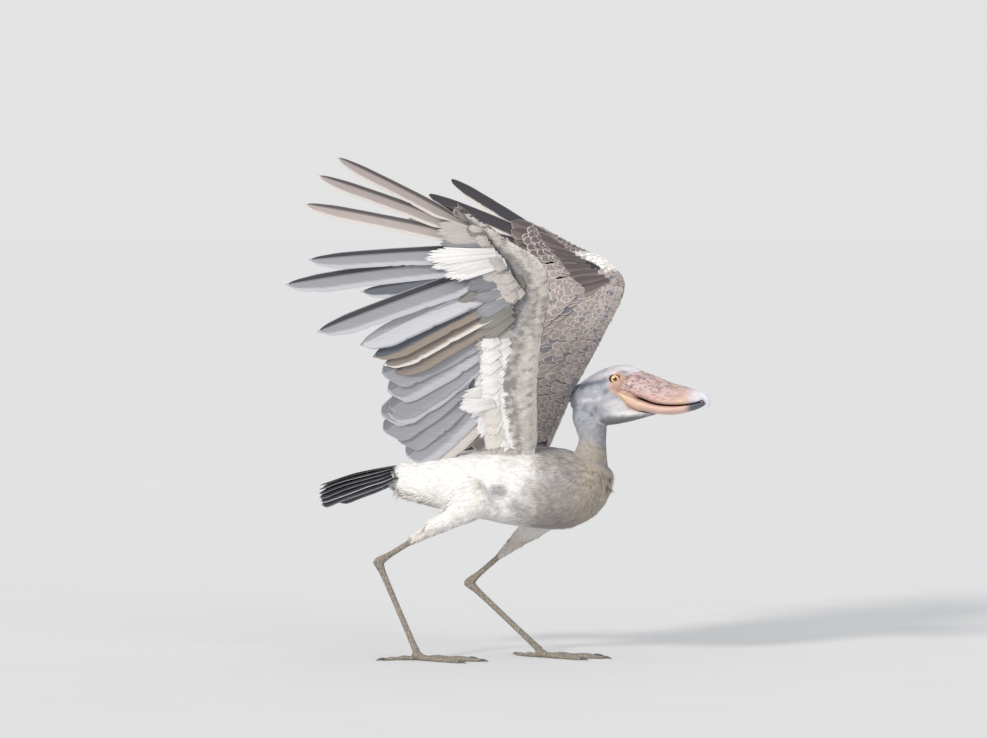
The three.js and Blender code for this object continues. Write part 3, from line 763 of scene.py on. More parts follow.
def wing_markings(places, wing, broad, fine, colours):
    """Grey and white under a wing, grey brown over it."""
    run, _, lift = wing.measure(places)
    chord = wing.chord_of(places)
    small, medium = mottle(places, 6, 4), mottle(places, 12, 8)
    strip = layered(
        colours.under_wing,
        (colours.cream, ease(medium + 0.7 * fine, -0.6, 1.0) * 0.8),
        (colours.smudge, ease(-medium - 0.8 * fine, 0.4, 1.4) * 0.6),
    )
    middle = blend_colours(colours.dusk, colours.under_wing, ease(fine + 0.6 * medium, -0.6, 0.9))
    inner = ease(-run - 25 * broad, -300, -240)
    under = layered(
        strip,
        (middle, ease(chord + 0.04 * fine, 0.25, 0.35)),
        (colours.white, ease(chord + 0.07 * fine, 0.5, 0.58) * inner),
        (colours.cloud, ease(chord + 0.09 * fine, 0.46, 0.6) * (1 - inner) * 0.8),
        (colours.cream, ease(-chord, -0.07, -0.015) * 0.85),
    )
    patch = ease(run, 446, 456) * ease(-run, -512, -500) * ease(-chord, -0.3, -0.2)
    over = layered(
        colours.over_wing,
        (colours.slate, ease(fine + 0.5 * small + 0.4 * broad, 0.35, 0.95) * 0.75),
        (colours.covert_rim, ease(-fine, 0.2, 1.1) * 0.3),
        (colours.hand_brown, ease(run + 18 * broad, 440, 490) * 0.85),
        (colours.white, patch),
    )
    return np.where((lift < 0)[:, None], under, over)


# The wings' own frames


class WingFrame:
    """Places on a raised wing: along it, behind its leading line and above its plane."""

    def __init__(self, side):
        self.side = side
        out, raise_ = SIDES[side], math.radians(WING_RAISE[side])
        self.span = np.array([0, out * math.cos(raise_), math.sin(raise_)])
        self.back = np.array([-1.0, 0, 0])
        self.upper = np.array([0, -out * math.sin(raise_), math.cos(raise_)])
        self.origin = np.array([0, out * SHOULDER_HALF, 0.0])

    def place(self, run, behind, lift=0.0):
        """Places from how far they are along the wing, behind the shoulder and above the plane."""
        run, behind, lift = (np.asarray(v, float)[..., None] for v in (run, behind, lift))
        return self.origin + self.span * run + self.back * behind + self.upper * lift

    def measure(self, places):
        """How far places are along the wing, behind the shoulder and above the plane."""
        away = places - self.origin
        return away @ self.span, away @ self.back, away @ self.upper

    def heading(self, degrees):
        """The way at an angle from the wing's length, backwards."""
        a = math.radians(degrees)
        return self.span * math.cos(a) + self.back * math.sin(a)

    def hand(self, along, behind=0.0):
        """A place on the hand as one on the wing, from how far it is past and behind the wrist."""
        sweep = math.radians(HAND_SWEEP[self.side])
        return (
            WRIST[0] + along * math.cos(sweep) - behind * math.sin(sweep),
            WRIST[1] + along * math.sin(sweep) + behind * math.cos(sweep),
        )

    def arm_rows(self):
        """Rows of the arm and then the hand."""
        hand = [
            [*self.hand(lead, before), *self.hand(trail, behind), thick]
            for lead, before, trail, behind, thick in HAND_ROWS
        ]
        reach = FORE_REACH[self.side]
        arm = [
            [run0, behind0 - reach * share, run1, behind1, thick]
            for (run0, behind0, run1, behind1, thick), share in zip(ARM_ROWS, FORE_SHARES)
        ]
        return [*arm, *hand]

    def arm(self, sides, count, depth=0.0):
        """Rings along the fleshy arm and hand, rounded in front and thin behind."""
        a = 2 * math.pi * np.arange(sides) / sides
        chord = (1 - np.cos(a)) / 2
        fullness = np.sin(a) * (1.25 - 0.75 * chord)
        rings = []
        for run0, behind0, run1, behind1, thick in refined(self.arm_rows(), count):
            half = thick / 2 - min(depth, MOST_INSET * thick)
            rings.append(self.place(mix(run0, run1, chord), mix(behind0, behind1, chord), fullness * half))
        return np.array(rings)

    def chord_of(self, places):
        """Each place's share of the way from the arm's leading edge to its trailing edge."""
        run, behind, _ = self.measure(places)
        rows = refined(self.arm_rows(), CHORD_STEPS)
        middle = (rows[:, :2] + rows[:, 2:4]) / 2
        near = np.hypot(run[:, None] - middle[:, 0], behind[:, None] - middle[:, 1]).argmin(1)
        lead, across = rows[near, :2], rows[near, 2:4] - rows[near, :2]
        away = np.stack([run, behind], 1) - lead
        return (away * across).sum(1) / (across * across).sum(1)

    def on_arm(self, share, chord, face):
        """A place on the arm's upper face (1) or lower face (-1), by shares of its length and chord."""
        rows = refined(self.arm_rows(), ARM_STEPS + 1)
        run0, behind0, run1, behind1, thick = rows[int(round(np.clip(share, 0, 1) * ARM_STEPS))]
        if chord > 1:
            reach = BEYOND_STEP * (chord - 1) / math.hypot(run1 - run0, behind1 - behind0) + 1
            level = mix(*BEYOND_LIFT, (chord - 1) / 2)
        else:
            reach = chord
            level = math.sqrt(max(0.0, 1 - (1 - 2 * chord) ** 2)) * (1.25 - 0.75 * chord) * thick / 2
            level = max(level, EDGE_LIFT * ease(chord, 0.6, 1.0) if face > 0 else 0)
        return self.place(mix(run0, run1, reach), mix(behind0, behind1, reach), face * level)

    def feather(self, spot, angle, length, width, twist=VANE_TWIST, **shape):
        """One feather's shape, from a place on the wing and an angle from the wing's length."""
        a = math.radians(twist)
        flat = self.heading(angle - 90)
        return {
            "root": self.place(*spot), "along": self.heading(angle),
            "outer": flat * math.cos(a) + self.upper * math.sin(a),
            "upper": self.upper * math.cos(a) - flat * math.sin(a),
            "length": length, "width": width, **shape,
        }


# Long feathers

# Places across a feather's webs, with the shaft at 0
WEB = np.array([-1, -0.84, -0.6, -0.34, -0.1, -0.035, 0, 0.035, 0.12, 0.45, 0.75, 1])
SMALL_WEB = np.array([-1, -0.6, -0.05, 0.05, 0.6, 1])


def soft_profile(profile, t):
    """A feather's share of its full width at each place, with rounded turns."""
    knots = np.array(profile, float)
    fine = np.linspace(-0.1, 1.1, 241)
    share = np.interp(fine, knots[:, 0], knots[:, 1])
    share = np.convolve(np.pad(share, 6, mode="edge"), np.ones(13) / 13, "valid")
    share = np.interp(t, fine, share)
    return share * np.sqrt(np.clip((1.004 - t) / 0.05, 0, 1))


def vane(shape, rings, random, web=WEB):
    """One closed feather as corners, faces and its own measures."""
    length, width = shape["length"], shape["width"]
    split = shape.get("split", 0.3)
    t = np.linspace(0, 1, rings) ** 0.92
    share = soft_profile(shape["profile"], t)
    nick = np.zeros(rings)
    for _ in range(shape.get("nicks", 2)):
        nick += random.uniform(0.03, 0.08) * np.exp(-(((t - random.uniform(0.35, 0.95)) / 0.012) ** 2))
    wave = random.uniform(0, 6.28)
    middle = (
        shape["root"]
        + np.outer(t * length, shape["along"])
        - np.outer(shape.get("sag", 0.02) * length * t * t, shape["upper"])
        - np.outer(shape.get("sweep", 0.02) * length * t * t, shape["outer"])
    )
    out = width * split * share
    inn = width * (1 - split) * share * (1 - nick)
    reach = np.where(web[None] > 0, web[None] * out[:, None], web[None] * inn[:, None])
    far = np.abs(web)[None]
    camber = -shape.get("camber", 0.07) * width * share[:, None] * far**2
    ripple = 0.012 * width * np.sin(wave + 11 * t)[:, None] * far
    shaft = np.exp(-((web / 0.03) ** 2))[None] * (1 - 0.8 * t)[:, None] * shape.get("shaft", 1.6)
    thick = shape.get("thick", 0.35) * (1 - far) + 0 * t[:, None]
    for layer in (thick, shaft):
        layer[0] = layer[-1] = 0
    layers = []
    for face in (1, -1):
        lift = camber + ripple + face * (thick + 0.5 * shaft)
        layers.append(
            middle[:, None] + reach[..., None] * shape["outer"] + lift[..., None] * shape["upper"]
        )
    columns = len(web)
    size = rings * columns
    grid = np.arange(size).reshape(rings, columns)
    lower = grid + size
    lower[:, 0], lower[:, -1], lower[0], lower[-1] = grid[:, 0], grid[:, -1], grid[0], grid[-1]
    used = np.unique(np.concatenate([grid.ravel(), lower.ravel()]))
    index = np.full(2 * size, -1)
    index[used] = np.arange(len(used))
    quads = []
    for cells, order in ((grid, 1), (lower, -1)):
        four = np.stack([cells[:-1, :-1], cells[1:, :-1], cells[1:, 1:], cells[:-1, 1:]], -1).reshape(-1, 4)
        quads.append(index[four[:, ::order]])
    corners = np.concatenate([layer.reshape(-1, 3) for layer in layers])[used]
    across, along = np.tile(web, 2 * rings)[used], np.tile(np.repeat(t, columns), 2)[used]
    return corners, np.concatenate(quads), across, along, np.where(used < size, 1.0, 0.0)


def feather_piece(name, shapes, material, rings=34, seed=1):
    """Long feathers as one piece, each with its own strip of the map."""
    random = np.random.default_rng(seed)
    faces, start, marks, grown = [], 0, [], []
    for i, shape in enumerate(shapes):
        corners, quads, across, along, upper = vane(shape, shape.get("rings", rings), random)
        size = len(corners)
        faces.append(quads + start)
        start += size
        chance = random.uniform(0, 9)
        tone = 1 + random.uniform(-0.07, 0.07)
        plain = blend_colours(shape["under"], shape["top"], upper)
        root_share = ease(-along, -0.45, -0.1) * shape.get("root_share", 0.0)
        values = {
            "place": corners, "across": across, "along": along, "reach": np.full(size, shape["length"] / 7),
            "chance": np.full(size, chance), "lead": np.full(size, shape["lead"]),
            "rim": np.full(size, shape["rim"]), "tip_rim": np.full(size, shape.get("tip_rim", 0.03)),
            "wide_rim": np.where(across < 0, shape.get("wide_rim", 0.0), 0.0),
            "tint": blend_colours(plain, shape["base"], root_share) * tone,
        }
        for key in ("dark_tint", "rim_tint", "shaft_tint"):
            values[key] = np.tile(shape[key], (size, 1))
        grown.append(values)
        marks.append(np.stack([
            (i + 0.5 + 0.45 * across) / len(shapes), 0.01 + 0.48 * along + 0.5 * upper
        ], 1))
    grown = joined(grown)
    mesh = bpy.data.meshes.new(name)
    mesh.from_pydata(in_metres(grown.pop("place")).tolist(), [], np.concatenate(faces).tolist())
    mesh.shade_smooth()
    mesh.set_sharp_from_angle(angle=RIM_ANGLE)
    for key, values in grown.items():
        give(mesh, key, values)
    give_map(mesh, strip_map(mesh, np.vstack(marks)))
    return new_piece(name, mesh, material)


def strip_map(mesh, marks):
    """The map's place for each face corner, the rim of an under face kept in its own strip."""
    corners = marks[read(mesh.loops, "vertex_index", kind=np.int32)].copy()
    totals = read(mesh.polygons, "loop_total", kind=np.int32)
    owner = np.repeat(np.arange(len(totals)), totals)
    lowest = np.full(len(totals), 2.0)
    np.minimum.at(lowest, owner, corners[:, 1])
    under = lowest[owner] < 0.5
    corners[:, 1] = np.where(under & (corners[:, 1] > 0.5), corners[:, 1] - 0.5, corners[:, 1])
    return corners


def joined(groups):
    """Tables of arrays under the same names, joined end to end."""
    return {key: np.concatenate([group[key] for group in groups]) for key in groups[0]}


# Small feathers, planted with Geometry Nodes


def lock_pattern(name, strands, fan, arch, seed, spread=0.42, root=0.1, crown=0.16, rings=POINTED_RINGS):
    """A small feather's pattern, one unit long: flat strands side by side that part at the tip."""
    random = np.random.default_rng(seed)
    shortest = 0.9 if rings is BLUNT_RINGS else 0.7
    ridge, drop = 0.009, 0.015
    corners, faces, tips, chances = [], [], [], []
    for j in range(strands):
        away = 2 * (j + random.uniform(-0.25, 0.25)) / (strands - 1) - 1
        reach = (1 - crown * away**2) * random.uniform(shortest, 1.04)
        swing = away * fan * random.uniform(0.75, 1.2)
        wide = spread / strands
        start = len(corners)
        chance = random.uniform(0, 1)
        for t, share in rings:
            y = swing * (0.4 * t + 0.6 * t * t) + root * away
            z = arch * (t - t * t) + drop * random.uniform(-1, 1)
            for side, lift in ((-1, 0.0), (1, 0.0), (0, ridge)):
                corners.append((t * reach, y + side * wide * share, z + lift * share))
                tips.append(t)
        corners.append((reach, swing * random.uniform(0.9, 1.15) + root * away, -drop))
        tips.append(1.0)
        chances += [chance] * (len(corners) - start)
        faces.append((start, start + 1, start + 2))
        last = start + 3 * (len(rings) - 1)
        for k in range(3):
            after = (k + 1) % 3
            for first in range(start, last, 3):
                faces.append((first + k, first + 3 + k, first + 3 + after, first + after))
            faces.append((last + k, last + 3, last + after))
    return pattern_piece(name, corners, faces, tips, chances)


def lock_patterns(kind):
    """The patterns of one kind of small feather."""
    rule = dict(LOCKS[kind])
    seed = rule.pop("seed")
    return [lock_pattern(f"{kind} {j}", seed=seed + j, **rule) for j in range(PATTERN_KINDS)]


def covert_pattern(name, rings, bend, seed):
    """A small rounded feather's pattern, one unit long and one wide."""
    random = np.random.default_rng(seed)
    shape = {
        "root": np.zeros(3), "along": np.array([1.0, 0, 0]), "outer": np.array([0, 1.0, 0]),
        "upper": np.array([0, 0, 1.0]), "length": 1.0, "width": 1.0, "profile": SHORT_VANE,
        "sag": bend, "sweep": 0.0, "split": 0.5, "camber": 0.012, "shaft": 0.012, "thick": 0.008,
    }
    corners, quads, across, along, _ = vane(shape, rings, random, SMALL_WEB)
    piece = pattern_piece(name, corners, quads.tolist(), along, np.full(len(corners), random.uniform()))
    give(piece.data, "across", across)
    give(piece.data, "along", along)
    return piece


def pattern_piece(name, corners, faces, tips, chances):
    """A pattern as an object, with what its material and its map patch need."""
    corners = np.array(corners, float)
    mesh = bpy.data.meshes.new(name)
    mesh.from_pydata(corners.tolist(), [], faces)
    turn_outwards(mesh)
    mesh.shade_smooth()
    mesh.set_sharp_from_angle(angle=RIM_ANGLE)
    give(mesh, "tip", tips)
    give(mesh, "strand", chances)
    patch = np.zeros((len(corners), 3))
    patch[:, 0] = (corners[:, 0] - 0.5) * PATCH
    patch[:, 1] = np.clip(corners[:, 1] + 0.25 * (corners[:, 2] > 0.0005), -0.6, 0.6) * PATCH
    give(mesh, "patch", patch)
    return new_piece(name, mesh)


# What the planting itself reads of the points. The rest are looks
PLACING = ("place", "along", "up", "size", "kind", "map")


def planter_tree():
    """The tree that plants patterns on points by their own turn, size and kind."""
    tree = bpy.data.node_groups.new("Plant feathers", "GeometryNodeTree")
    face = tree.interface
    face.new_socket("Geometry", in_out="INPUT", socket_type="NodeSocketGeometry")
    patterns = face.new_socket("Patterns", in_out="INPUT", socket_type="NodeSocketCollection")
    material = face.new_socket("Feather material", in_out="INPUT", socket_type="NodeSocketMaterial")
    fullness = face.new_socket("Fullness", in_out="INPUT", socket_type="NodeSocketFloat")
    fullness.default_value = 1.0
    face.new_socket("Geometry", in_out="OUTPUT", socket_type="NodeSocketGeometry")

    def node(kind, inputs=(), **settings):
        return add_node(tree, kind, inputs, **settings)

    def own(name, kind):
        return node("GeometryNodeInputNamedAttribute", {"Name": name}, data_type=kind).outputs["Attribute"]

    given = node("NodeGroupInput")
    kinds = node("GeometryNodeCollectionInfo", {
        "Collection": given.outputs["Patterns"], "Separate Children": True, "Reset Children": True,
    })
    turn = node("FunctionNodeEulerToRotation", {0: own("turn", "FLOAT_VECTOR")})
    size = node("ShaderNodeVectorMath", {
        0: own("size", "FLOAT_VECTOR"), "Scale": given.outputs["Fullness"],
    }, operation="SCALE")
    planted = node("GeometryNodeInstanceOnPoints", {
        "Points": given.outputs["Geometry"], "Instance": kinds.outputs[0], "Pick Instance": True,
        "Instance Index": own("kind", "INT"), "Rotation": turn.outputs[0], "Scale": size.outputs[0],
    })
    real = node("GeometryNodeRealizeInstances", {"Geometry": planted.outputs[0]})
    spot = node("ShaderNodeVectorMath", {
        0: own("root_place", "FLOAT_VECTOR"), 1: own("patch", "FLOAT_VECTOR"),
    }, operation="ADD")
    stored = node("GeometryNodeStoreNamedAttribute", {
        "Geometry": real.outputs[0], "Name": BAKE_MAP, "Value": spot.outputs[0],
    }, data_type="FLOAT2", domain="CORNER")
    done = node("GeometryNodeSetMaterial", {
        "Geometry": stored.outputs[0], "Material": given.outputs["Feather material"],
    })
    out = node("NodeGroupOutput")
    tree.links.new(done.outputs[0], out.inputs[0])
    return tree, {
        "patterns": patterns.identifier, "material": material.identifier, "fullness": fullness.identifier,
    }


def turns(along, up):
    """Euler turns that bring a pattern's length to along and its upper face to up."""
    x = unit(along)
    y = unit(np.cross(up, x))
    z = np.cross(x, y)
    return np.stack([
        np.arctan2(y[:, 2], z[:, 2]), np.arcsin(np.clip(-x[:, 2], -1, 1)), np.arctan2(x[:, 1], x[:, 0])
    ], 1)


def plant(name, points, patterns, material):
    """Plants small feathers and returns them as one plain piece. points holds arrays of one row a feather."""
    tree, sockets = planter_tree()
    mesh = bpy.data.meshes.new(name)
    mesh.from_pydata(in_metres(points["place"]).tolist(), [], [])
    planting = {
        "turn": turns(points["along"], points["up"]), "size": points["size"] * MM, "kind": points["kind"],
        "root_place": np.pad(points["map"], ((0, 0), (0, 1))),
    }
    looks = {key: values for key, values in points.items() if key not in PLACING}
    for key, values in {**planting, **looks}.items():
        give(mesh, key, values)
    piece = new_piece(name, mesh)
    group = bpy.data.collections.new(name + " patterns")
    for pattern in patterns:
        group.objects.link(pattern)
    modifier = piece.modifiers.new("plant", "NODES")
    modifier.node_group = tree
    modifier[sockets["patterns"]] = group
    modifier[sockets["material"]] = material
    modifier[sockets["fullness"]] = 1.0
    made = worked(piece)
    for pattern in patterns:
        bpy.data.objects.remove(pattern)
    bpy.data.collections.remove(group)
    bpy.data.node_groups.remove(tree)
    for key in (*planting, "patch"):
        layer = made.attributes.get(key)
        if layer:
            made.attributes.remove(layer)
    return new_piece(name, made, material)


# The skin

PARTS = ["torso", "neck", "head", "rump", "shin_right", "shin_left", "wing_right", "wing_left"]
FACINGS = 6
UNWRAP_SIDE = 7
# What the coat reads of the finished skin: its mesh, faces and map
SKIN = {}


def leg_rows(start, end, shares):
    """Rows of a limb from start to end: places at shares of the way, with half widths and depths."""
    return [[*mix(start, end, share), wide, deep] for share, wide, deep in shares]


def joints_of(side):
    """A leg's knee, ankle and foot."""
    return [np.array(LEGS[side][name], float) for name in ("knee", "ankle", "foot")]


def mirrored(rows, out):
    """Rows of the left side (1) or of the right one (-1)."""
    return [[x, out * y, *rest] for x, y, *rest in rows]


def skin_forms(sizes):
    """The closed forms under the coat, by part, each brought in by its coat's depth."""
    body, neck, head = (depth / MM for depth in (sizes.body_depth, sizes.neck_depth, sizes.head_depth))
    forms = {
        "torso": [trunk(TORSO_ROWS, 48, 70, body, 0.52, 0.92)],
        "neck": [limb(NECK_ROWS, 40, 40, neck)],
        "head": [
            trunk(SKULL_ROWS, 48, 60, head, 0.45),
            trunk(THROAT_ROWS, 32, 30, head),
            *[limb(mirrored(BROW_ROWS, out), 12, 16) for out in SIDES.values()],
            *[limb(mirrored(CHEEK_ROWS, out), 14, 18) for out in SIDES.values()],
        ],
        "rump": [limb(RUMP_ROWS, 24, 16, 4)],
    }
    for side in SIDES:
        knee, ankle, _ = joints_of(side)
        forms["shin_" + side] = [limb(leg_rows(knee, ankle, SHIN_SHARES), 28, 40, body)]
        forms["wing_" + side] = [WingFrame(side).arm(28, 70, sizes.wing_depth / MM)]
    return forms


def bill_zone(places, soft=3.0):
    """1 where the bill covers the head, 0 where the coat does."""
    edge = np.interp(places[:, 2], *BILL_EDGE)
    return ease(places[:, 0] - edge, -soft, soft)


def trees_of(forms):
    """A search tree for each part of the bird."""
    found = {}
    for part, rings in forms.items():
        corners, faces = gathered([tube(r) for r in rings])
        found[part] = BVHTree.FromPolygons(corners.tolist(), faces)
    return found


def nearest_part(places, trees):
    """The number of the part whose form lies nearest each place."""
    away = np.full((len(PARTS), len(places)), 1e9)
    for n, part in enumerate(PARTS):
        find = trees[part].find_nearest
        for i, place in enumerate(places):
            away[n, i] = find(place)[3]
    return away.argmin(0)


def map_cells(normals, parts):
    """The map cell of each place on the skin: one for each part and facing."""
    axis = np.abs(normals).argmax(1)
    facing = 2 * axis + (np.take_along_axis(normals, axis[:, None], 1)[:, 0] > 0)
    return parts * FACINGS + facing


def laid_flat(cell, places):
    """Places seen along the axis that their map cell faces."""
    axis = (cell % FACINGS) // 2
    return np.stack([
        np.where(axis == 0, places[:, 1], places[:, 0]), np.where(axis == 2, places[:, 1], places[:, 2])
    ], 1)


def map_places(cell, places):
    """Where places of the skin lie on its map."""
    inside = (laid_flat(cell, places) - SKIN["cell_low"][cell]) / SKIN["cell_size"][cell][:, None]
    corner = np.stack([cell % UNWRAP_SIDE, cell // UNWRAP_SIDE], 1)
    return (corner + 0.04 + 0.92 * inside) / UNWRAP_SIDE


def make_skin(sizes, colours):
    """The one skin of torso, neck, head, shins and arms, its parts and its map."""
    forms = skin_forms(sizes)
    mesh = fused("skin", [rings for part in forms.values() for rings in part], 3.5, 4)
    drawn = places_of(mesh)
    drawn[:, 1] *= 1 - 0.15 * bill_zone(drawn)
    set_places(mesh, drawn)
    centres = (read(mesh.polygons, "center", 3) - ORIGIN) / MM
    normals = read(mesh.polygons, "normal", 3)
    parts = nearest_part(centres, trees_of(forms))
    cell = map_cells(normals, parts)
    totals = read(mesh.polygons, "loop_total", kind=np.int32)
    used = read(mesh.loops, "vertex_index", kind=np.int32)
    corners = places_of(mesh)
    corner_cell = np.repeat(cell, totals)
    flat = laid_flat(corner_cell, corners[used])
    cells = len(PARTS) * FACINGS
    low, high = np.full((cells, 2), 1e9), np.full((cells, 2), -1e9)
    np.minimum.at(low, corner_cell, flat)
    np.maximum.at(high, corner_cell, flat)
    SKIN.update(cell_low=low, cell_size=np.maximum((high - low).max(1), 1.0))
    SKIN.update(centres=centres, normals=normals, parts=parts, cell=cell, mesh=mesh)
    give_map(mesh, map_places(corner_cell, corners[used]))
    corner_part = np.zeros(len(corners), int)
    corner_part[used] = np.repeat(parts, totals)
    tint = np.zeros((len(corners), 3))
    for n, part in enumerate(PARTS):
        chosen = corner_part == n
        if chosen.any():
            tint[chosen] = body_markings(corners[chosen], part, colours)
    give(mesh, "tint", tint)
    return new_piece("skin", mesh, skin_surface())


def scattered(chosen, spacing, seed):
    """Seeded places on the chosen faces of the skin, no two nearer than their spacing."""
    random = np.random.default_rng(seed)
    mesh = SKIN["mesh"]
    corners = places_of(mesh)
    faces = np.flatnonzero(chosen)
    quads = np.array([list(mesh.polygons[int(f)].vertices)[:4] for f in faces])
    a, b, c, d = (corners[quads[:, k]] for k in range(4))
    area = 0.5 * np.linalg.norm(np.cross(c - a, d - b), axis=1)
    space = spacing[faces]
    weight = area / space**2
    count = int(weight.sum() * TRIES)
    pick = random.choice(len(faces), count, p=weight / weight.sum())
    u, v = random.random((2, count, 1))
    places = (a[pick] * (1 - u) + b[pick] * u) * (1 - v) + (d[pick] * (1 - u) + c[pick] * u) * v
    kept, grid = [], {}
    cell = max(float(space.min()), 1.0)
    for i, key in enumerate(np.floor(places / cell).astype(int).tolist()):
        gap = space[pick[i]]
        if is_clear(places, i, gap, grid, key, int(math.ceil(gap / cell))):
            kept.append(i)
            grid.setdefault(tuple(key), []).append(i)
    return places[kept], faces[pick[kept]], random


def is_clear(places, i, gap, grid, key, reach):
    """Whether no kept place within reach in the grid is nearer place i than the gap."""
    for near in itertools.product(*(range(k - reach, k + reach + 1) for k in key)):
        for other in grid.get(near, ()):
            away = places[i] - places[other]
            if away @ away < gap * gap:
                return False
    return True


def lie_of(places, part):
    """The way that the coat lies at places on a part."""
    x, _, z = places.T
    zero = np.zeros(len(places))
    if part == "torso":
        front = ease(x, 40, 150)
        return unit(np.stack([-1 + 0.55 * front, zero, -0.12 - 0.8 * front], 1))
    if part == "neck":
        return unit(np.stack([zero - 0.3, zero, zero - 1], 1))
    if part == "head":
        low = ease(-z, -80, -30)
        return unit(np.stack([-1 + 0.3 * low, zero, -0.22 - 0.55 * low], 1))
    if part == "rump":
        return unit(np.stack([zero - 1, zero, zero - 0.15], 1))
    if part.startswith("shin"):
        leg = LEGS[part.split("_")[1]]
        way = unit(np.array(leg["ankle"], float) - np.array(leg["knee"], float))
        return np.repeat(way[None], len(places), 0)
    wing = WingFrame(part.split("_")[1])
    run = wing.measure(places)[0]
    a = np.radians(mix(118, 80, ease(run, 420, 620)))
    return wing.span * np.cos(a)[:, None] + wing.back * np.sin(a)[:, None]


def standing(way, normal, rise):
    """The length and upper side of feathers that lie along a way and rise from their surface."""
    along = way * np.cos(rise) + normal * np.sin(rise)
    return along, normal * np.cos(rise) - way * np.sin(rise)


def coat_points(part_names, rules, colours, seed, keep=None):
    """Points for small feathers on parts of the skin, by each part's rule for their spacing and form."""
    groups = []
    centres = SKIN["centres"]
    for part in part_names:
        n = PARTS.index(part)
        rule = rules[part]
        chosen = SKIN["parts"] == n
        if keep:
            chosen &= keep(centres, SKIN["normals"])
        spacing = np.ones(len(centres))
        spacing[chosen] = rule["spacing"](centres[chosen])
        places, faces, random = scattered(chosen, spacing, seed + n)
        count = len(places)
        normals = SKIN["normals"][faces]
        length = rule["length"](places) * random.uniform(0.8, 1.15, count)
        way = lie_of(places, part)
        way = unit(way - normals * (way * normals).sum(1, keepdims=True))
        side = np.cross(normals, way)
        swing = np.radians(random.normal(0, rule.get("ruffle", 11), count))[:, None]
        way = way * np.cos(swing) + side * np.sin(swing)
        rise = np.arcsin(np.clip(rule["depth"] / length, 0, 0.6)) * random.uniform(0.35, 0.5, count)
        along, up = standing(way, normals, rise[:, None])
        tint = body_markings(places, part, colours) * random.uniform(0.97, 1.03, (count, 1))
        groups.append({
            "place": places - normals * 0.4, "along": along, "up": up,
            "size": np.stack([length, length * rule["width"], length * 0.9], 1),
            "kind": random.integers(0, PATTERN_KINDS, count),
            "map": map_places(SKIN["cell"][faces], places), "tint": tint,
        })
    return joined(groups)


def sorted_pieces(points, most):
    """Points split into groups of at most that many, from back to front."""
    order = np.argsort(points["place"][:, 0], kind="stable")
    groups = max(1, math.ceil(len(order) / most))
    for part in np.array_split(order, groups):
        yield {key: values[part] for key, values in points.items()}


def plant_coat(name, points, most, kind, material):
    """Plants points as numbered pieces of at most that many small feathers each."""
    for k, some in enumerate(sorted_pieces(points, most)):
        dress(plant(f"{name}_{k + 1}", some, lock_patterns(kind), material), [])


# Properties


def length_prop(name, default, text):
    return bpy.props.FloatProperty(name=name, default=default, unit="LENGTH", precision=4, description=text)


def angle_prop(name, degrees, text):
    return bpy.props.FloatProperty(
        name=name, default=math.radians(degrees), subtype="ANGLE", description=text
    )


def number_prop(name, default, text):
    return bpy.props.FloatProperty(name=name, default=default, description=text)


def colour_prop(name, screen, text):
    return bpy.props.FloatVectorProperty(
        name=name, default=paint(*screen), subtype="COLOR", min=0, max=1, description=text
    )


class BirdSizes(bpy.types.PropertyGroup):
    """Sizes of the coat."""

    body_depth: length_prop("Body coat depth", 0.008, "How far the body's coat stands over the skin")
    neck_depth: length_prop("Neck coat depth", 0.0065, "How far the neck's coat stands over the skin")
    head_depth: length_prop("Head coat depth", 0.002, "How far the head's coat stands over the skin")
    wing_depth: length_prop("Wing coat depth", 0.002, "How far the wing's small feathers stand over the skin")
    body_feather: length_prop("Body feather", 0.042, "Length of a body feather")
    neck_feather: length_prop("Neck feather", 0.019, "Length of a neck feather")
    head_feather: length_prop("Head feather", 0.0075, "Length of a head feather")
    wing_feather: length_prop("Small wing feather", 0.016, "Length of the smallest wing feathers")


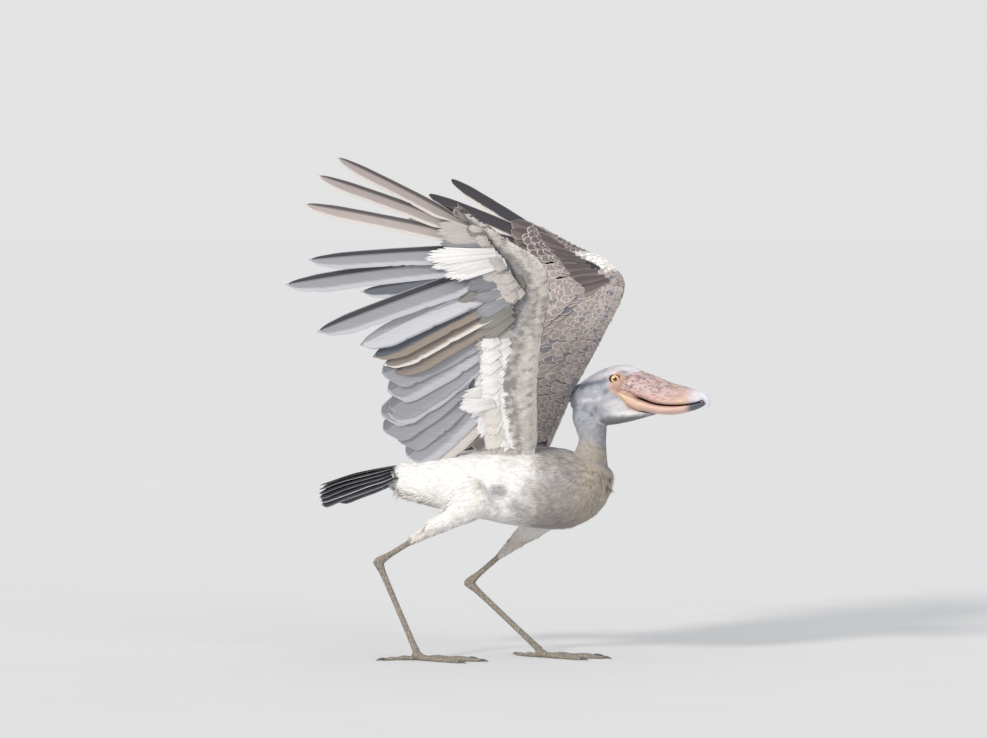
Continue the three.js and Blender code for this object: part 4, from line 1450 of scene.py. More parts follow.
class BirdColours(bpy.types.PropertyGroup):
    """Colours of the plumage, bill, eyes and legs."""

    slate: colour_prop("Slate", (108, 112, 126), "Dark slate of the back and of feather centres")
    body_grey: colour_prop("Body grey", (164, 158, 157), "Grey of the breast")
    white: colour_prop("White", (248, 246, 244), "White of flank and belly")
    cream: colour_prop("Cream", (230, 224, 216), "Cream shades of the belly and thigh")
    buff: colour_prop("Buff", (190, 178, 161), "Warm buff of the neck and breast")
    head_grey: colour_prop("Head grey", (178, 180, 188), "Blue grey of the cheeks")
    # Partly the crown's own lavender grey, partly painted light on the top of the head
    crown: colour_prop("Crown", (230, 226, 232), "Pale lavender grey of the crown")
    face: colour_prop("Face", (216, 176, 154), "Pinkish skin by the eye and the bill's base")
    throat: colour_prop("Throat", (128, 126, 122), "Shaded grey of the throat")
    # Painted shade: the brownish grey under the tail
    under_tail: colour_prop("Under tail", (176, 162, 146), "Brownish down under the tail")
    cloud: colour_prop("Cloud grey", (140, 141, 147), "Soft slate of the feathers under the wrist")
    dusk: colour_prop("Dusk grey", (150, 146, 141), "Shaded grey under the middle of the wing")
    smudge: colour_prop("Smudges", (136, 126, 120), "Brown smudges along the wing's leading edge")
    under_wing: colour_prop("Under wing", (204, 197, 192), "Grey of the wing's under side")
    over_wing: colour_prop("Over wing", (160, 149, 145), "Grey brown of the wing's upper side")
    covert_rim: colour_prop("Covert rim", (216, 207, 203), "Pale edges of the wing's small feathers")
    hand_brown: colour_prop("Hand brown", (102, 90, 88), "Dark brown of the hand's upper feathers")
    quill_dark: colour_prop("Dark quill", (48, 46, 54), "Darkest slate of the flight feathers")
    quill_slate: colour_prop("Slate quill", (94, 97, 107), "Slate of the flight feathers")
    quill_grey: colour_prop("Grey quill", (158, 158, 164), "Grey of the flight feathers' under side")
    quill_warm: colour_prop("Warm quill", (178, 167, 164), "Warm grey of the outer feathers' under side")
    quill_pale: colour_prop("Pale quill", (200, 201, 206), "Pale edges of the flight feathers")
    quill_tan: colour_prop("Tan edge", (154, 141, 128), "Tan edges of the inner flight feathers")
    bill_yellow: colour_prop("Bill yellow", (226, 198, 160), "Yellowish horn of the bill")
    bill_pink: colour_prop("Bill pink", (220, 184, 172), "Pinkish horn of the bill")
    bill_grey: colour_prop("Bill grey", (182, 166, 178), "Lavender grey along the bill's top")
    bill_blotch: colour_prop("Bill blotches", (114, 88, 102), "Dark blotches of the bill")
    bill_flush: colour_prop("Bill flush", (206, 150, 146), "Flushed patches of the bill")
    bill_nail: colour_prop("Bill nail", (222, 220, 228), "Pale horn of the hooked nail")
    bill_tip: colour_prop("Lower tip", (92, 94, 104), "Dark tip of the lower bill")
    # Painted shade for the crease between the bill's halves and the insides of the nostrils
    bill_crease_shade: colour_prop("Mouth line", (58, 40, 38), "Dark line between the bill's halves")
    iris_inner: colour_prop("Inner iris", (220, 128, 66), "Iris round the pupil")
    iris_outer: colour_prop("Outer iris", (250, 220, 156), "Iris towards its rim")
    lid: colour_prop("Lid skin", (176, 134, 116), "Bare skin round the eye")
    lid_edge: colour_prop("Lid edge", (58, 44, 46), "Dark edge of the lids")
    leg_grey: colour_prop("Leg grey", (128, 124, 120), "Slate grey of the legs")
    leg_tan: colour_prop("Leg tan", (172, 158, 140), "Tan of the legs' scales")
    claw: colour_prop("Claw", (42, 38, 38), "Dark horn of the claws")


class StageSettings(bpy.types.PropertyGroup):
    """Camera, floor and lights."""

    azimuth: angle_prop("Azimuth", 17, "Camera's turn round the bird")
    elevation: angle_prop("Elevation", 2, "Camera's angle above the horizon")
    distance: length_prop("Distance", 13.16, "From the camera to the bird")
    lens: number_prop("Lens", 200, "Focal length in mm, for a 36 mm sensor")
    floor_colour: colour_prop("Floor", (217, 218, 219), "Colour of the floor")
    key_power: number_prop("Key light", 1.8, "Strength of the main light")
    fill_power: number_prop("Fill light", 0.5, "Strength of the second light")
    sky: number_prop("Room light", 0.82, "Strength of the light from all round")


def settings():
    scene = bpy.context.scene
    return scene.shoebill_sizes, scene.shoebill_colours, scene.shoebill_stage


# Operators

# Where the camera and the lights look, in metres
CAMERA_AIM = Vector((-0.0488, -0.0091, 0.698))
LIGHT_AIM = Vector((0, 0, 0.7))
FLOOR_RADIUS = 90
KEY_LIGHT = {"place": (-2.4, -5.2, 3.7), "width": 9, "tone": (1.0, 0.97, 0.93)}
FILL_LIGHT = {"place": (4.0, -3.0, 2.7), "width": 40, "tone": (0.94, 0.96, 1.0)}
ROOM_COLOUR = (0.94, 0.94, 0.945, 1)


def look_along(placed, place, way):
    """Puts a camera or light at a place, facing along a way."""
    placed.location = place
    placed.rotation_mode = "QUATERNION"
    placed.rotation_quaternion = way.to_track_quat("-Z", "Y")
    bpy.context.scene.collection.objects.link(placed)


def add_sun(name, power, place, width, tone):
    """A far light of a width in degrees, aimed at the bird."""
    lamp = bpy.data.lights.new(name, "SUN")
    lamp.energy, lamp.color, lamp.angle = power, tone, math.radians(width)
    look_along(bpy.data.objects.new(name, lamp), place, LIGHT_AIM - Vector(place))


def floor_mesh():
    mesh = bpy.data.meshes.new("floor")
    work = bmesh.new()
    bmesh.ops.create_circle(work, cap_ends=True, segments=96, radius=FLOOR_RADIUS)
    work.to_mesh(mesh)
    work.free()
    return mesh


class Stage(bpy.types.Operator):
    """Pale floor, soft lights and the camera at the photo's angle"""

    bl_idname = "shoebill.stage"
    bl_label = "Stage"

    def execute(self, context):
        stage = settings()[2]
        scene = context.scene
        cam = bpy.data.cameras.new("camera")
        cam.lens, cam.sensor_width, cam.clip_end = stage.lens, 36, 200
        camera = bpy.data.objects.new("camera", cam)
        az, el = stage.azimuth, stage.elevation
        back = Vector((math.sin(az) * math.cos(el), -math.cos(az) * math.cos(el), math.sin(el)))
        look_along(camera, CAMERA_AIM + back * stage.distance, -back)
        scene.camera = camera
        surface = Surface("floor", 0.9, Specular_IOR_Level=0.0)
        grain = surface.step(surface.noise(3), 0.2, 0.8, 0.99, 1.01)
        material = surface.colour(surface.scaled(stage.floor_colour, grain))
        new_piece("floor", floor_mesh(), material)
        add_sun("key", stage.key_power, **KEY_LIGHT)
        add_sun("fill", stage.fill_power, **FILL_LIGHT)
        scene.view_settings.view_transform = "Standard"
        world = bpy.data.worlds.new("room")
        world.use_nodes = True
        background = world.node_tree.nodes["Background"]
        background.inputs["Color"].default_value = ROOM_COLOUR
        background.inputs["Strength"].default_value = stage.sky
        scene.world = world
        return {"FINISHED"}


class Skin(bpy.types.Operator):
    """One skin for torso, neck, head, shins and arms, in the coat's markings"""

    bl_idname = "shoebill.skin"
    bl_label = "Skin"

    def execute(self, context):
        sizes, colours, _ = settings()
        piece = make_skin(sizes, colours)
        flesh = ["torso", "neck", "head", "shin_right", "shin_left", "wing_right", "wing_left"]
        dress(piece, flesh)
        return {"FINISHED"}


def evenly(value):
    """The same value at all places."""
    return lambda places: np.full(len(places), float(value))


class BodyCoat(bpy.types.Operator):
    """Loose feathers of the body, neck, rump and shins"""

    bl_idname = "shoebill.body_coat"
    bl_label = "Body coat"

    def execute(self, context):
        sizes, colours, _ = settings()
        material = plumage_surface()
        body, neck = sizes.body_feather / MM, sizes.neck_feather / MM

        def torso_length(places):
            under_tail = ease(-places[:, 0], 220, 320) * ease(-places[:, 2], 110, 165)
            return body * (1 + 0.6 * under_tail - 0.25 * ease(places[:, 0], 70, 140))

        shin = {
            "spacing": lambda places: mix(5.6, 3.6, ease(-places[:, 2], 190, 320)),
            "length": lambda places: mix(0.85 * body, 9.0, ease(-places[:, 2], 190, 330)),
            "width": 0.5, "depth": 6,
        }
        rules = {
            "torso": {
                "spacing": evenly(5.2), "length": torso_length, "width": 0.5,
                "depth": sizes.body_depth / MM, "ruffle": 7,
            },
            "rump": {"spacing": evenly(5.0), "length": evenly(body * 0.9), "width": 0.45, "depth": 5},
            "neck": {
                "spacing": evenly(4.0), "length": evenly(neck), "width": 0.5, "depth": sizes.neck_depth / MM,
            },
            "shin_right": shin, "shin_left": shin,
        }
        for name, parts, seed in (
            ("body_coat", ["torso"], 40), ("neck_coat", ["neck"], 50),
            ("rear_coat", ["rump", "shin_right", "shin_left"], 60),
        ):
            plant_coat(name, coat_points(parts, rules, colours, seed), 2200, "lock", material)
        return {"FINISHED"}


class HeadCoat(bpy.types.Operator):
    """Short fine feathers of the head, and the tuft at its nape"""

    bl_idname = "shoebill.head_coat"
    bl_label = "Head coat"

    def execute(self, context):
        sizes, colours, _ = settings()
        material = plumage_surface()
        short = sizes.head_feather / MM

        def length(places):
            back = ease(-places[:, 0], -150, -80)
            face = ease(places[:, 0], 170, 225)
            return short * (1 + 1.2 * back - 0.4 * face)

        def keep(centres, normals):
            """Clear of the bill and of the bare skin round the eyes."""
            from_eye = np.hypot(centres[:, 0] - EYE_CENTRE[0], centres[:, 2] - EYE_CENTRE[2])
            return ((from_eye > BARE_RADIUS) | (np.abs(centres[:, 1]) < 25)) & (bill_zone(centres) < 0.4)

        rule = {
            "spacing": lambda places: mix(3.0, 2.3, ease(places[:, 0], 120, 215)),
            "length": length, "width": 0.42, "depth": sizes.head_depth / MM, "ruffle": 9,
        }
        points = coat_points(["head"], {"head": rule}, colours, 5, keep)
        plant_coat("head_coat", points, 4200, "fine lock", material)
        dress(plant("nape_tuft", nape_tuft(colours), lock_patterns("tuft lock"), material), [])
        return {"FINISHED"}


def nape_tuft(colours):
    """Long loose feathers fanned behind the crown."""
    random = np.random.default_rng(17)
    count = 90
    turn = np.radians(random.uniform(-34, 34, count))
    level = random.uniform(0, 1, count)
    place = np.stack([
        mix(100, 80, level) + random.uniform(-4, 8, count), 22 * np.sin(turn * 1.3), mix(116, 84, level)
    ], 1)
    along = unit(np.stack([
        -0.94 * np.cos(turn), np.sin(turn) * 0.8,
        mix(-0.22, -0.62, level) + random.uniform(-0.08, 0.08, count),
    ], 1))
    up = unit(np.stack([np.full(count, -0.35), np.zeros(count), np.ones(count)], 1))
    length = random.uniform(34, 60, count) * (1 - 0.25 * level)
    cells = np.full(count, PARTS.index("head") * FACINGS)
    return {
        "place": place, "along": along, "up": up,
        "size": np.stack([length, length * 0.3, length * 0.5], 1),
        "kind": random.integers(0, PATTERN_KINDS, count),
        "map": map_places(cells, place),
        "tint": body_markings(place, "head", colours) * random.uniform(0.75, 1.0, (count, 1)),
    }


# Wings


def feather_colours(colours, top, under, lead=0.0, rim=0.0, **more):
    """The colours of one long feather, by the names of the bird's colours."""
    dark, edge = more.pop("dark", "quill_dark"), more.pop("edge", "quill_pale")
    base = more.pop("base", under)
    over, below = getattr(colours, top), getattr(colours, under)
    return {
        "top": over, "under": below, "base": getattr(colours, base), "lead": lead, "rim": rim,
        "dark_tint": getattr(colours, dark), "rim_tint": getattr(colours, edge),
        "shaft_tint": np.minimum(below, over) * 0.75, **more,
    }


def primary_shapes(wing, colours):
    """The ten feathers of the hand, from the innermost out."""
    slate = dict(top="quill_slate", under="quill_grey", lead=0.9, rim=0.8, base="quill_slate")
    slate.update(root_share=0.9, wide_rim=0.2)
    warm = dict(top="quill_dark", under="quill_warm", lead=0.8, rim=0.8, edge="cream", base="smudge")
    warm.update(root_share=0.5, wide_rim=0.15)
    brown = dict(top="quill_slate", under="smudge", lead=0.7, rim=0.9, edge="cream", dark="hand_brown")
    kinds = [
        dict(top="quill_slate", under="smudge", lead=0.5, rim=0.8, edge="quill_tan", wide_rim=0.2),
        dict(brown, wide_rim=0.1),
        dict(top="quill_slate", under="quill_slate", lead=0.4, rim=0.9, edge="quill_tan", wide_rim=0.3),
        dict(top="quill_slate", under="quill_pale", lead=0.35, rim=0.3, base="quill_grey", root_share=0.9),
        slate, slate, slate, warm, warm, warm,
    ]
    return [
        wing.feather(
            wing.hand(PRIMARY_STEP * (i + 0.4)), PRIMARY_ANGLE[i], PRIMARY_LENGTH[i], PRIMARY_WIDTH[i],
            profile=LONG_VANE, sag=0.02, sweep=0.02 + 0.002 * i, rings=46, nicks=3,
            **feather_colours(colours, **kind),
        )
        for i, kind in enumerate(kinds)
    ]


def row_shapes(wing, rule, start, end, lift, colours, kinds, loose=0.0, seed=1, **options):
    """A row of feathers whose roots run from one wing place to another. loose makes them uneven."""
    shapes = []
    random = np.random.default_rng(seed)
    count = rule["count"]
    for i in range(count):
        t = i / max(count - 1, 1)
        kind = kinds[min(int(t * len(kinds)), len(kinds) - 1)]
        off, swing, stretch, swell = random.normal(0, loose, 4)
        t = np.clip(t + 0.3 * off / count, 0, 1)
        spot = [*mix(np.array(start, float), np.array(end, float), t), lift * (1 + 0.15 * swell)]
        shapes.append(wing.feather(
            spot, mix(*rule["angle"], t) + 3 * swing, mix(*rule["length"], t) * (1 + 0.05 * stretch),
            mix(*rule["width"], t) * (1 + 0.08 * swell), **options, **feather_colours(colours, **kind),
        ))
    return shapes


def inner_shapes(wing, colours):
    """Secondaries and tertials."""
    grey = dict(top="quill_slate", under="quill_grey", lead=0.35, rim=0.5, base="quill_slate", root_share=0.6)
    pale = dict(top="quill_slate", under="quill_grey", lead=0.3, rim=0.8, base="quill_pale")
    pale.update(root_share=0.6, wide_rim=0.2)
    brown = dict(top="quill_slate", under="under_wing", lead=0.6, rim=0.4, dark="hand_brown", edge="cream")
    long = dict(profile=BLUNT_VANE, sag=0.02, sweep=0.02, rings=40, loose=0.6, twist=4, camber=0.018)
    kinds = [grey, pale, pale, grey, pale, brown, pale, grey]
    return [
        *row_shapes(wing, SECONDARIES, (372, -20), (204, 112), 1, colours, kinds, seed=5, **long),
        *row_shapes(wing, TERTIALS, (184, 112), (96, 96), 3, colours, [grey, pale, ASH], seed=6, **long),
    ]


def large_shapes(wing, colours):
    """Large coverts of the arm and hand, and the thumb's three feathers."""
    hand = dict(top="hand_brown", under="hand_brown", lead=0.5, rim=0.5, edge="over_wing", wide_rim=0.25)
    over = dict(profile=SHORT_VANE, split=0.45, sag=0.0, rings=22, camber=0.02, twist=3, loose=0.3)
    start, end = wing.hand(12), wing.hand(196)
    shapes = row_shapes(wing, ARM_COVERTS, (392, -10), (60, 96), 6, colours, [ASH], seed=7, **over)
    shapes += row_shapes(wing, HAND_COVERTS, start, end, 10, colours, [hand], seed=8, **over)
    for i in range(3):
        spot = (*wing.hand(40 + 8 * i, -8 - 2 * i), 5 + 1.5 * i)
        shapes.append(wing.feather(
            spot, HAND_SWEEP[wing.side] + 6 * i, 112 - 14 * i, 26, twist=4, profile=SHORT_VANE, split=0.35,
            sag=0.02, rings=18, **feather_colours(colours, "quill_dark", "quill_slate", 0.4, 0.4),
        ))
    return shapes


class FlightFeathers(bpy.types.Operator):
    """Primaries, secondaries, tertials, large coverts and thumb feathers of both wings"""

    bl_idname = "shoebill.flight_feathers"
    bl_label = "Flight feathers"

    def execute(self, context):
        _, colours, _ = settings()
        material = vane_surface()
        for n, side in enumerate(SIDES):
            wing = WingFrame(side)
            for name, make, seed in (
                ("primaries", primary_shapes, 3), ("secondaries", inner_shapes, 13),
                ("large_coverts", large_shapes, 23),
            ):
                piece = feather_piece(f"{name}_{side}", make(wing, colours), material, seed=seed + n)
                dress(piece, ["wing_" + side])
        return {"FINISHED"}


def lobe_rows(wing):
    """Rows of soft lobes under a wing: how many, how long, at what angles, how wide, from where to where."""
    hand = wing.hand
    dim, plain, white = "dusk", "under_wing", "white"
    return (
        (8, (172, 142), (106, 116), (56, 50), hand(46, 20), (350, -4), -7, [dim, "cloud"]),
        (9, (122, 96), (102, 124), (40, 38), hand(92, 16), (330, 8), -12, ["cloud", "quill_grey", dim]),
        (6, (128, 96), (112, 118), (48, 44), (346, 0), (262, 34), -8, [dim, plain]),
        (4, (156, 172), (106, 96), (52, 48), hand(104, 12), hand(142, 8), -15, [white]),
        (5, (124, 104), (96, 82), (44, 40), hand(156, 4), hand(206), -13, ["quill_grey", plain]),
        (20, (46, 38), (122, 80), (30, 27), (374, 4), hand(192, 10), -12, [plain, plain, "cream"]),
        (22, (40, 34), (122, 78), (27, 24), (388, -14), hand(200, -4), -14, [plain, plain, dim]),
        (22, (36, 32), (122, 78), (24, 22), (400, -30), hand(206, -14), -15, [plain]),
        (14, (56, 70), (116, 132), (36, 38), (262, 26), (4, 54), -9, [white]),
        (14, (54, 72), (112, 136), (36, 38), (266, 52), (8, 84), -11, [white, white, "cream"]),
        (1, (92, 92), (100, 100), (46, 46), (92, 90), (92, 90), -15, [white]),
        (18, (104, 184), (124, 170), (46, 50), (136, 84), (-6, 20), -6, [white, white, plain, white]),
    )


def lobe_points(wing, colours, seed):
    """Large soft feathers under a wing, from its rows of lobes."""
    random = np.random.default_rng(seed)
    shapes = []
    for k, (count, length, angle, width, start, end, lift, kinds) in enumerate(lobe_rows(wing)):
        rule = {"count": count, "length": length, "angle": angle, "width": width}
        plain = [dict(top=kind, under=kind) for kind in kinds]
        shapes += row_shapes(wing, rule, start, end, lift, colours, plain, loose=0.8, seed=seed + k, twist=3)
    place, along, upper, tint, length, width = (
        np.array([shape[key] for shape in shapes])
        for key in ("root", "along", "upper", "under", "length", "width")
    )
    count = len(place)
    cell = np.full(count, FACINGS * PARTS.index("wing_" + wing.side))
    return {
        "place": place, "along": along, "up": -upper,
        "size": np.stack([length, width, 0.3 * length], 1),
        "kind": random.integers(0, PATTERN_KINDS, count),
        "map": map_places(cell, place),
        "tint": tint * random.uniform(0.9, 1.03, (count, 1)),
    }


# The small coverts' rows: their chords, how uneven they are, and their least and greatest length
COVERT_ROWS = {
    "over": (
        (0.02, 0.08, 0.15, 0.23, 0.32, 0.42, 0.53, 0.65, 0.78, 0.92, 1.1, 1.4, 1.7, 2.0, 2.3, 2.6, 2.9),
        0.6, (16, 46),
    ),
    "under": ((0.72, 0.81, 0.9), 1.2, (26, 44)),
}
COVERT_WIDTHS = (15, 31)
# The length of the arm and hand that a row of coverts covers, with each set this much of its width apart
ROW_LENGTH = 640
COVERT_STEP = 0.7


def covert_points(wing, face, colours, seed):
    """Rows of small rounded feathers over one face of a wing's arm and hand."""
    random = np.random.default_rng(seed)
    chords, loose, lengths = COVERT_ROWS["over" if face > 0 else "under"]
    rows = []
    for r, chord in enumerate(chords):
        grown = min(chord, 1) ** 0.8
        length, width = mix(*lengths, grown), mix(*COVERT_WIDTHS, grown)
        count = int(ROW_LENGTH / (width * COVERT_STEP))
        for i in range(count):
            share = (i + 0.5 * (r % 2) + 0.3 + random.normal(0, 0.12 * loose)) / count
            if share > 0.985 or share < 0 or (chord > 1.5 and share > 0.66):
                continue
            deep = chord + random.normal(0, 0.02 * loose)
            place = wing.on_arm(share, deep, face)
            outer, inner = (wing.on_arm(s, deep, face) for s in (min(share + 0.02, 1), max(share - 0.02, 0)))
            rear, front = (wing.on_arm(share, d, face) for d in (deep + 0.03, max(deep - 0.03, 0)))
            normal = unit(np.cross(outer - inner, rear - front))
            normal = normal if normal @ wing.upper * face > 0 else -normal
            angle = np.interp(share, [0, 0.55, 0.7, 1], [120, 114, 100, 58]) + random.normal(0, 6 * loose)
            way = wing.heading(angle)
            way = unit(way - normal * (way @ normal))
            size = (1 - 0.3 * share) * random.uniform(1 - 0.12 * loose, 1 + 0.1 * loose)
            rows.append((place, way, normal, length * size, width * size))
    place, way, normal, length, width = (np.array(values) for values in zip(*rows))
    count = len(place)
    rise = np.radians(random.uniform(2.9, 3.7, count))[:, None]
    along, up = standing(way, normal, rise)
    part = "wing_" + wing.side
    tint = body_markings(place + face * wing.upper * 4, part, colours)
    cell = map_cells(normal, np.full(count, PARTS.index(part)))
    return {
        "place": place - normal * 0.5, "along": along, "up": up,
        "size": np.stack([length, width, width * 0.9], 1),
        "kind": random.integers(0, PATTERN_KINDS, count),
        "map": map_places(cell, place),
        "tint": tint * random.uniform(0.8, 1.04, (count, 1)),
        "dark_tint": tint * 0.7, "shaft_tint": tint * 0.6,
        "rim_tint": blend_colours(tint, colours.covert_rim, np.full(count, 0.85)),
        "lead": np.zeros(count), "rim": np.full(count, 0.75), "tip_rim": np.full(count, 0.24),
        "wide_rim": np.full(count, 0.1), "reach": length / 7, "chance": random.uniform(0, 9, count),
    }


class WingCoverts(bpy.types.Operator):
    """Rows of small feathers over both faces of each wing, and the down along its leading edge"""

    bl_idname = "shoebill.wing_coverts"
    bl_label = "Wing coverts"

    def execute(self, context):
        sizes, colours, _ = settings()
        vanes, plumage = vane_surface(), plumage_surface()
        rule = {
            "spacing": evenly(3.3), "length": evenly(sizes.wing_feather / MM), "width": 0.36, "depth": 1.6,
            "ruffle": 12,
        }
        for n, side in enumerate(SIDES):
            wing, part = WingFrame(side), "wing_" + side
            rounded = [covert_pattern(f"covert {j}", 9, 0.012 * j, 50 + j) for j in range(PATTERN_KINDS)]
            over = covert_points(wing, 1, colours, 32 + 2 * n)
            dress(plant("coverts_over_" + side, over, rounded, vanes), [part])
            for name, points, kind in (
                ("coverts_under_", covert_points(wing, -1, colours, 30 + 2 * n), "soft covert"),
                ("soft_coverts_", lobe_points(wing, colours, 90 + n), "lobe"),
            ):
                dress(plant(name + side, points, lock_patterns(kind), plumage), [part])

            def open_places(centres, normals, wing=wing):
                """The under face and the leading edge, where no rows of coverts lie."""
                under, chord = normals @ wing.upper < 0.25, wing.chord_of(centres)
                return (under & (chord < 0.78)) | (chord < 0.06)

            points = coat_points([part], {part: rule}, colours, 70 + n, open_places)
            plant_coat("wing_down_" + side, points, 3200, "wing lock", plumage)
        return {"FINISHED"}


def tail_shapes(colours):
    """Twelve feathers fanned and roofed from the left edge to the right one."""
    shapes = []
    for i in range(TAIL_COUNT):
        t = i / (TAIL_COUNT - 1) * 2 - 1
        pitch, turn, roll = math.radians(4 + 8 * abs(t)), math.radians(14 * t), math.radians(30 * t)
        along = unit([-math.cos(turn) * math.cos(pitch), math.sin(turn), -math.sin(pitch)])
        flat = np.array([math.sin(turn), math.cos(turn), 0])
        rise = unit(np.cross(flat, along))
        outer = flat * math.cos(roll) - rise * math.sin(roll)
        shapes.append({
            "root": np.array([-338, 22 * t, -84 - 12 * t * t - 12 * abs(t)]), "along": along,
            "outer": -outer if t < 0 else outer, "upper": rise * math.cos(roll) + flat * math.sin(roll),
            "length": 240 - 14 * t * t, "width": 62, "profile": BLUNT_VANE, "split": 0.45, "sag": 0.15,
            "sweep": 0.0, "rings": 36, "nicks": 1, "camber": 0.03, "wide_rim": 0.34,
            **feather_colours(colours, "quill_dark", "quill_dark", 0.2, 0.9 if i % 3 == 1 else 0.35),
        })
    return shapes


class Tail(bpy.types.Operator):
    """The tail's roofed fan of twelve feathers"""

    bl_idname = "shoebill.tail"
    bl_label = "Tail"

    def execute(self, context):
        _, colours, _ = settings()
        piece = feather_piece("tail_feathers", tail_shapes(colours), vane_surface(), seed=33)
        dress(piece, ["tail"])
        return {"FINISHED"}


# Bill and eyes


class Bill(bpy.types.Operator):
    """The broad hooked bill, its keel and nostrils, with painted shade inside the nostrils and in the crease
    between its halves
    """

    bl_idname = "shoebill.bill"
    bl_label = "Bill"

    def execute(self, context):
        _, colours, _ = settings()
        upper = fused("bill_top", [
            trunk(UPPER_BILL_ROWS, 56, 80, 0, 0.22, 0.8), limb(NAIL_ROWS, 28, 40), limb(KEEL_ROWS, 16, 50),
        ], 1.7, 3)
        places = places_of(upper)
        x, y, z = places.T
        slit = np.hypot((x - NOSTRIL[0]) / 13, (np.abs(y) - NOSTRIL[1]) / 2.8)
        places[:, 2] -= 5 * ease(-slit, -1.3, -0.5) * (z > 118)
        set_places(upper, places)
        # Painted shade inside the nostrils and along the crease above the lower bill, wider towards the rear
        depth = 1.2 + 2.4 * ease(-x, -250, -215)
        inside = ease(-slit, -1.2, -0.7) * (z > 112)
        line = ease(-(z - mouth_level(x)) / depth, -1, 0.2)
        give(upper, "mouth", np.maximum(line, inside) * (x < 386))
        dress(new_piece("bill_top", upper, bill_surface(colours, False)), ["bill_upper"])
        lower = fused("bill_bottom", [trunk(LOWER_BILL_ROWS, 56, 80, 0, 0.7, 0.8)], 1.7, 3)
        x, _, z = places_of(lower).T
        rows = refined(LOWER_BILL_ROWS, 60)
        # Painted shade along the lower bill's top edge, in the crease under the upper bill
        give(lower, "mouth", ease(z - np.interp(x, rows[:, 0], rows[:, 1]), -2.6, -0.9) * (x > 184))
        dress(new_piece("bill_bottom", lower, bill_surface(colours, True)), ["bill_lower"])
        return {"FINISHED"}


def mouth_level(x):
    """The height of the line between the bill's halves."""
    rows = refined(UPPER_BILL_ROWS, 60)
    return np.interp(x, rows[:, 0], rows[:, 2] + 1.0)


class Eyes(bpy.types.Operator):
    """Both eyes and the lids and folds of skin round them"""

    bl_idname = "shoebill.eyes"
    bl_label = "Eyes and lids"

    def execute(self, context):
        _, colours, _ = settings()
        material, lid_material = eye_surface(colours), lid_surface(colours)
        for side, out in SIDES.items():
            centre = np.array([EYE_CENTRE[0], out * EYE_CENTRE[1], EYE_CENTRE[2]], float)
            eyeball = new_piece(f"eyeball_{side}", eye_mesh(centre, unit([0.26, out, 0.0])), material)
            dress(eyeball, ["eye_" + side])
            dress(new_piece(f"lids_{side}", lid_mesh(centre, out), lid_material), [])
        return {"FINISHED"}


def eye_mesh(centre, gaze):
    """A ball that knows how far each place lies from the line it looks along."""
    mesh = bpy.data.meshes.new("eye")
    work = bmesh.new()
    bmesh.ops.create_uvsphere(work, u_segments=48, v_segments=32, radius=EYE_RADIUS)
    work.to_mesh(mesh)
    work.free()
    corners = read(mesh.vertices, "co", 3)
    set_places(mesh, corners + centre)
    mesh.shade_smooth()
    ahead = corners @ gaze
    off = np.linalg.norm(corners - np.outer(ahead, gaze), axis=1)
    give(mesh, "off_axis", np.where(ahead > 0, off, EYE_RADIUS + 1))
    return mesh


def lid_mesh(centre, out):
    """Two lids and a low fold round one eye, hugging the ball."""
    axis = unit([0.2, out, 0.02])
    level = unit(np.cross([0, 0, 1], axis)) * -out
    up = np.cross(axis, level)
    up = up if up[2] > 0 else -up
    around = 56
    a = np.arange(around) * 2 * math.pi / around
    rings = []
    for k, (radius, height, _) in enumerate(LID_ROWS):
        wide = 1 + 0.10 * np.cos(a) ** 2 * (radius < 13.5)
        tall = 1 - 0.10 * np.sin(a) ** 2 * (radius < 13.5)
        wrinkle = 0.25 * np.sin(9 * a + k) * (radius > 12)
        lid = 0.7 * np.clip(np.sin(a), 0, 1) * (6 <= k <= 9)
        rings.append(
            centre
            + np.outer(np.cos(a) * radius * wide, level)
            + np.outer(np.sin(a) * (radius * tall - lid), up)
            + np.outer(height + 0.4 + wrinkle, axis)
        )
    grid = np.arange(len(LID_ROWS) * around).reshape(-1, around)
    after = np.roll(grid, -1, 1)
    quads = np.stack([grid, after, np.roll(after, -1, 0), np.roll(grid, -1, 0)], -1)
    mesh = new_mesh("lids", np.vstack(rings), quads.reshape(-1, 4).tolist())
    give(mesh, "rim_dark", np.repeat([dark for _, _, dark in LID_ROWS], around))
    return mesh


# Legs


class Legs(bpy.types.Operator):
    """Bare legs, feet and claws"""

    bl_idname = "shoebill.legs"
    bl_label = "Legs and feet"

    def execute(self, context):
        _, colours, _ = settings()
        scales, horn = leg_surface(colours), claw_surface(colours)
        for side in SIDES:
            knee, ankle, foot = joints_of(side)
            shank = fused("shank", [
                limb(leg_rows(knee, ankle, BARE_SHIN_SHARES), 24, 60),
                limb(leg_rows(ankle, foot, FOOT_BONE_SHARES), 24, 90),
            ], 1.6, 3)
            dress(new_piece(f"shank_{side}", shank, scales), ["leg_" + side])
            ball = [[foot[0] + x, foot[1], FLOOR + up, wide, deep] for x, up, wide, deep in BALL_ROWS]
            toes = [limb(toe_rows(side, toe), 20, 90) for toe in TOES]
            mesh = fused("toes", [*toes, limb(ball, 20, 20)], 1.5, 3)
            set_places(mesh, kept_above(places_of(mesh), FLOOR + 0.15))
            dress(new_piece(f"toes_{side}", mesh, scales), ["foot_" + side])
            for toe in TOES:
                corners, faces = tube(limb(claw_rows(side, toe), 16, 24))
                nail = new_mesh("nail", kept_above(corners, FLOOR + 0.1), faces)
                dress(new_piece(f"nail_{side}_{toe}", nail, horn), [f"claw_{side}_{toe}"])
        return {"FINISHED"}


def kept_above(places, height):
    """Places with none lower than the height."""
    return np.stack([places[:, 0], places[:, 1], np.maximum(places[:, 2], height)], 1)


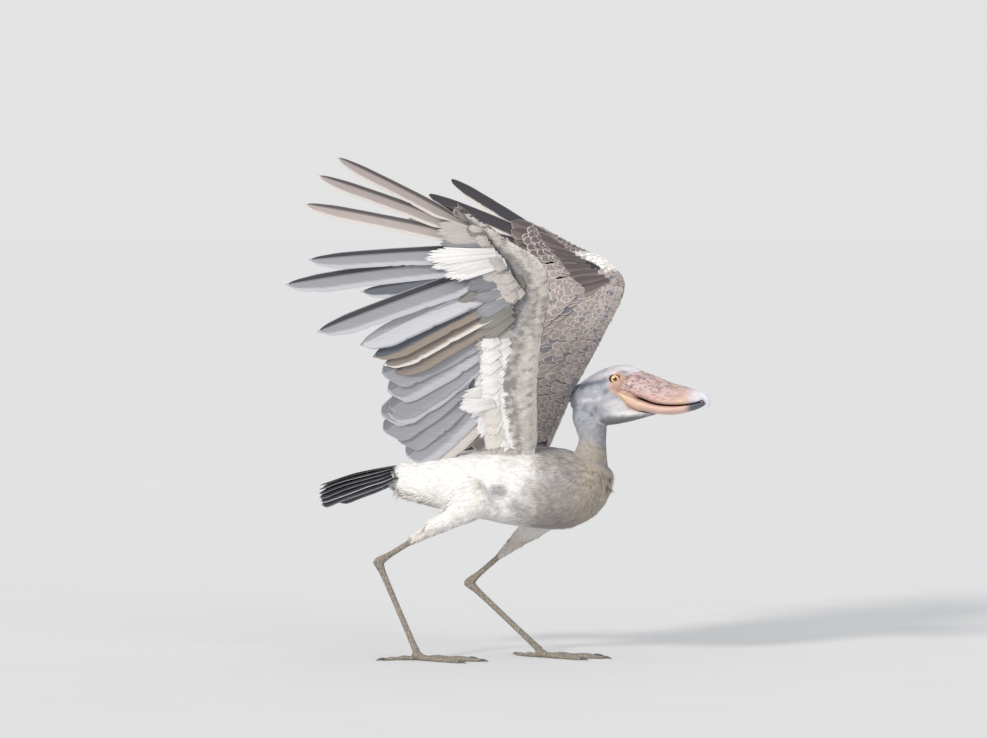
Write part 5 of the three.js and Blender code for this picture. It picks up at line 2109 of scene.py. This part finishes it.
def toe_place(side, toe, t):
    """Where a toe's middle line stands on the floor, at a share of its length."""
    turn, length, _ = TOES[toe]
    foot = LEGS[side]["foot"]
    angle = math.radians(turn) * SIDES[side] * (1 - 0.12 * t)
    return np.array([foot[0] + math.cos(angle) * length * t, foot[1] + math.sin(angle) * length * t])


def toe_rows(side, toe):
    """Rows of a toe that tapers and swells at its pads."""
    rows = []
    root = TOES[toe][2]
    for t in np.linspace(0, 1, 21):
        radius = mix(root, 0.55 * root, t) * (1 + 0.12 * math.cos(t * math.pi * 5))
        rows.append([*toe_place(side, toe, t), FLOOR + radius - 0.4, radius, radius])
    return rows


def claw_rows(side, toe):
    """Rows of a claw that runs on from the toe's end and comes down to the floor."""
    tip = toe_place(side, toe, 1)
    ahead = unit(tip - toe_place(side, toe, 0.9))
    return [
        [*(tip + ahead * CLAW_LENGTH * t), FLOOR + up, wide, deep] for t, up, wide, deep in CLAW_ROWS
    ]


OPERATORS = (Stage, Skin, BodyCoat, HeadCoat, FlightFeathers, WingCoverts, Tail, Bill, Eyes, Legs)


class Panel(bpy.types.Panel):
    """The bird's steps in the sidebar"""

    bl_idname = "VIEW3D_PT_shoebill"
    bl_label = "Shoebill"
    bl_space_type = "VIEW_3D"
    bl_region_type = "UI"
    bl_category = "Shoebill"

    def draw(self, context):
        for operator in OPERATORS:
            self.layout.operator(operator.bl_idname)


CLASSES = (BirdSizes, BirdColours, StageSettings, *OPERATORS, Panel)


def register():
    for cls in CLASSES:
        bpy.utils.register_class(cls)
    scene = bpy.types.Scene
    scene.shoebill_sizes = bpy.props.PointerProperty(type=BirdSizes)
    scene.shoebill_colours = bpy.props.PointerProperty(type=BirdColours)
    scene.shoebill_stage = bpy.props.PointerProperty(type=StageSettings)


def unregister():
    for name in ("shoebill_stage", "shoebill_colours", "shoebill_sizes"):
        delattr(bpy.types.Scene, name)
    for cls in reversed(CLASSES):
        bpy.utils.unregister_class(cls)


def main():
    register()
    for operator in OPERATORS:
        group, name = operator.bl_idname.split(".")
        getattr(getattr(bpy.ops, group), name)()


if __name__ == "__main__":
    main()
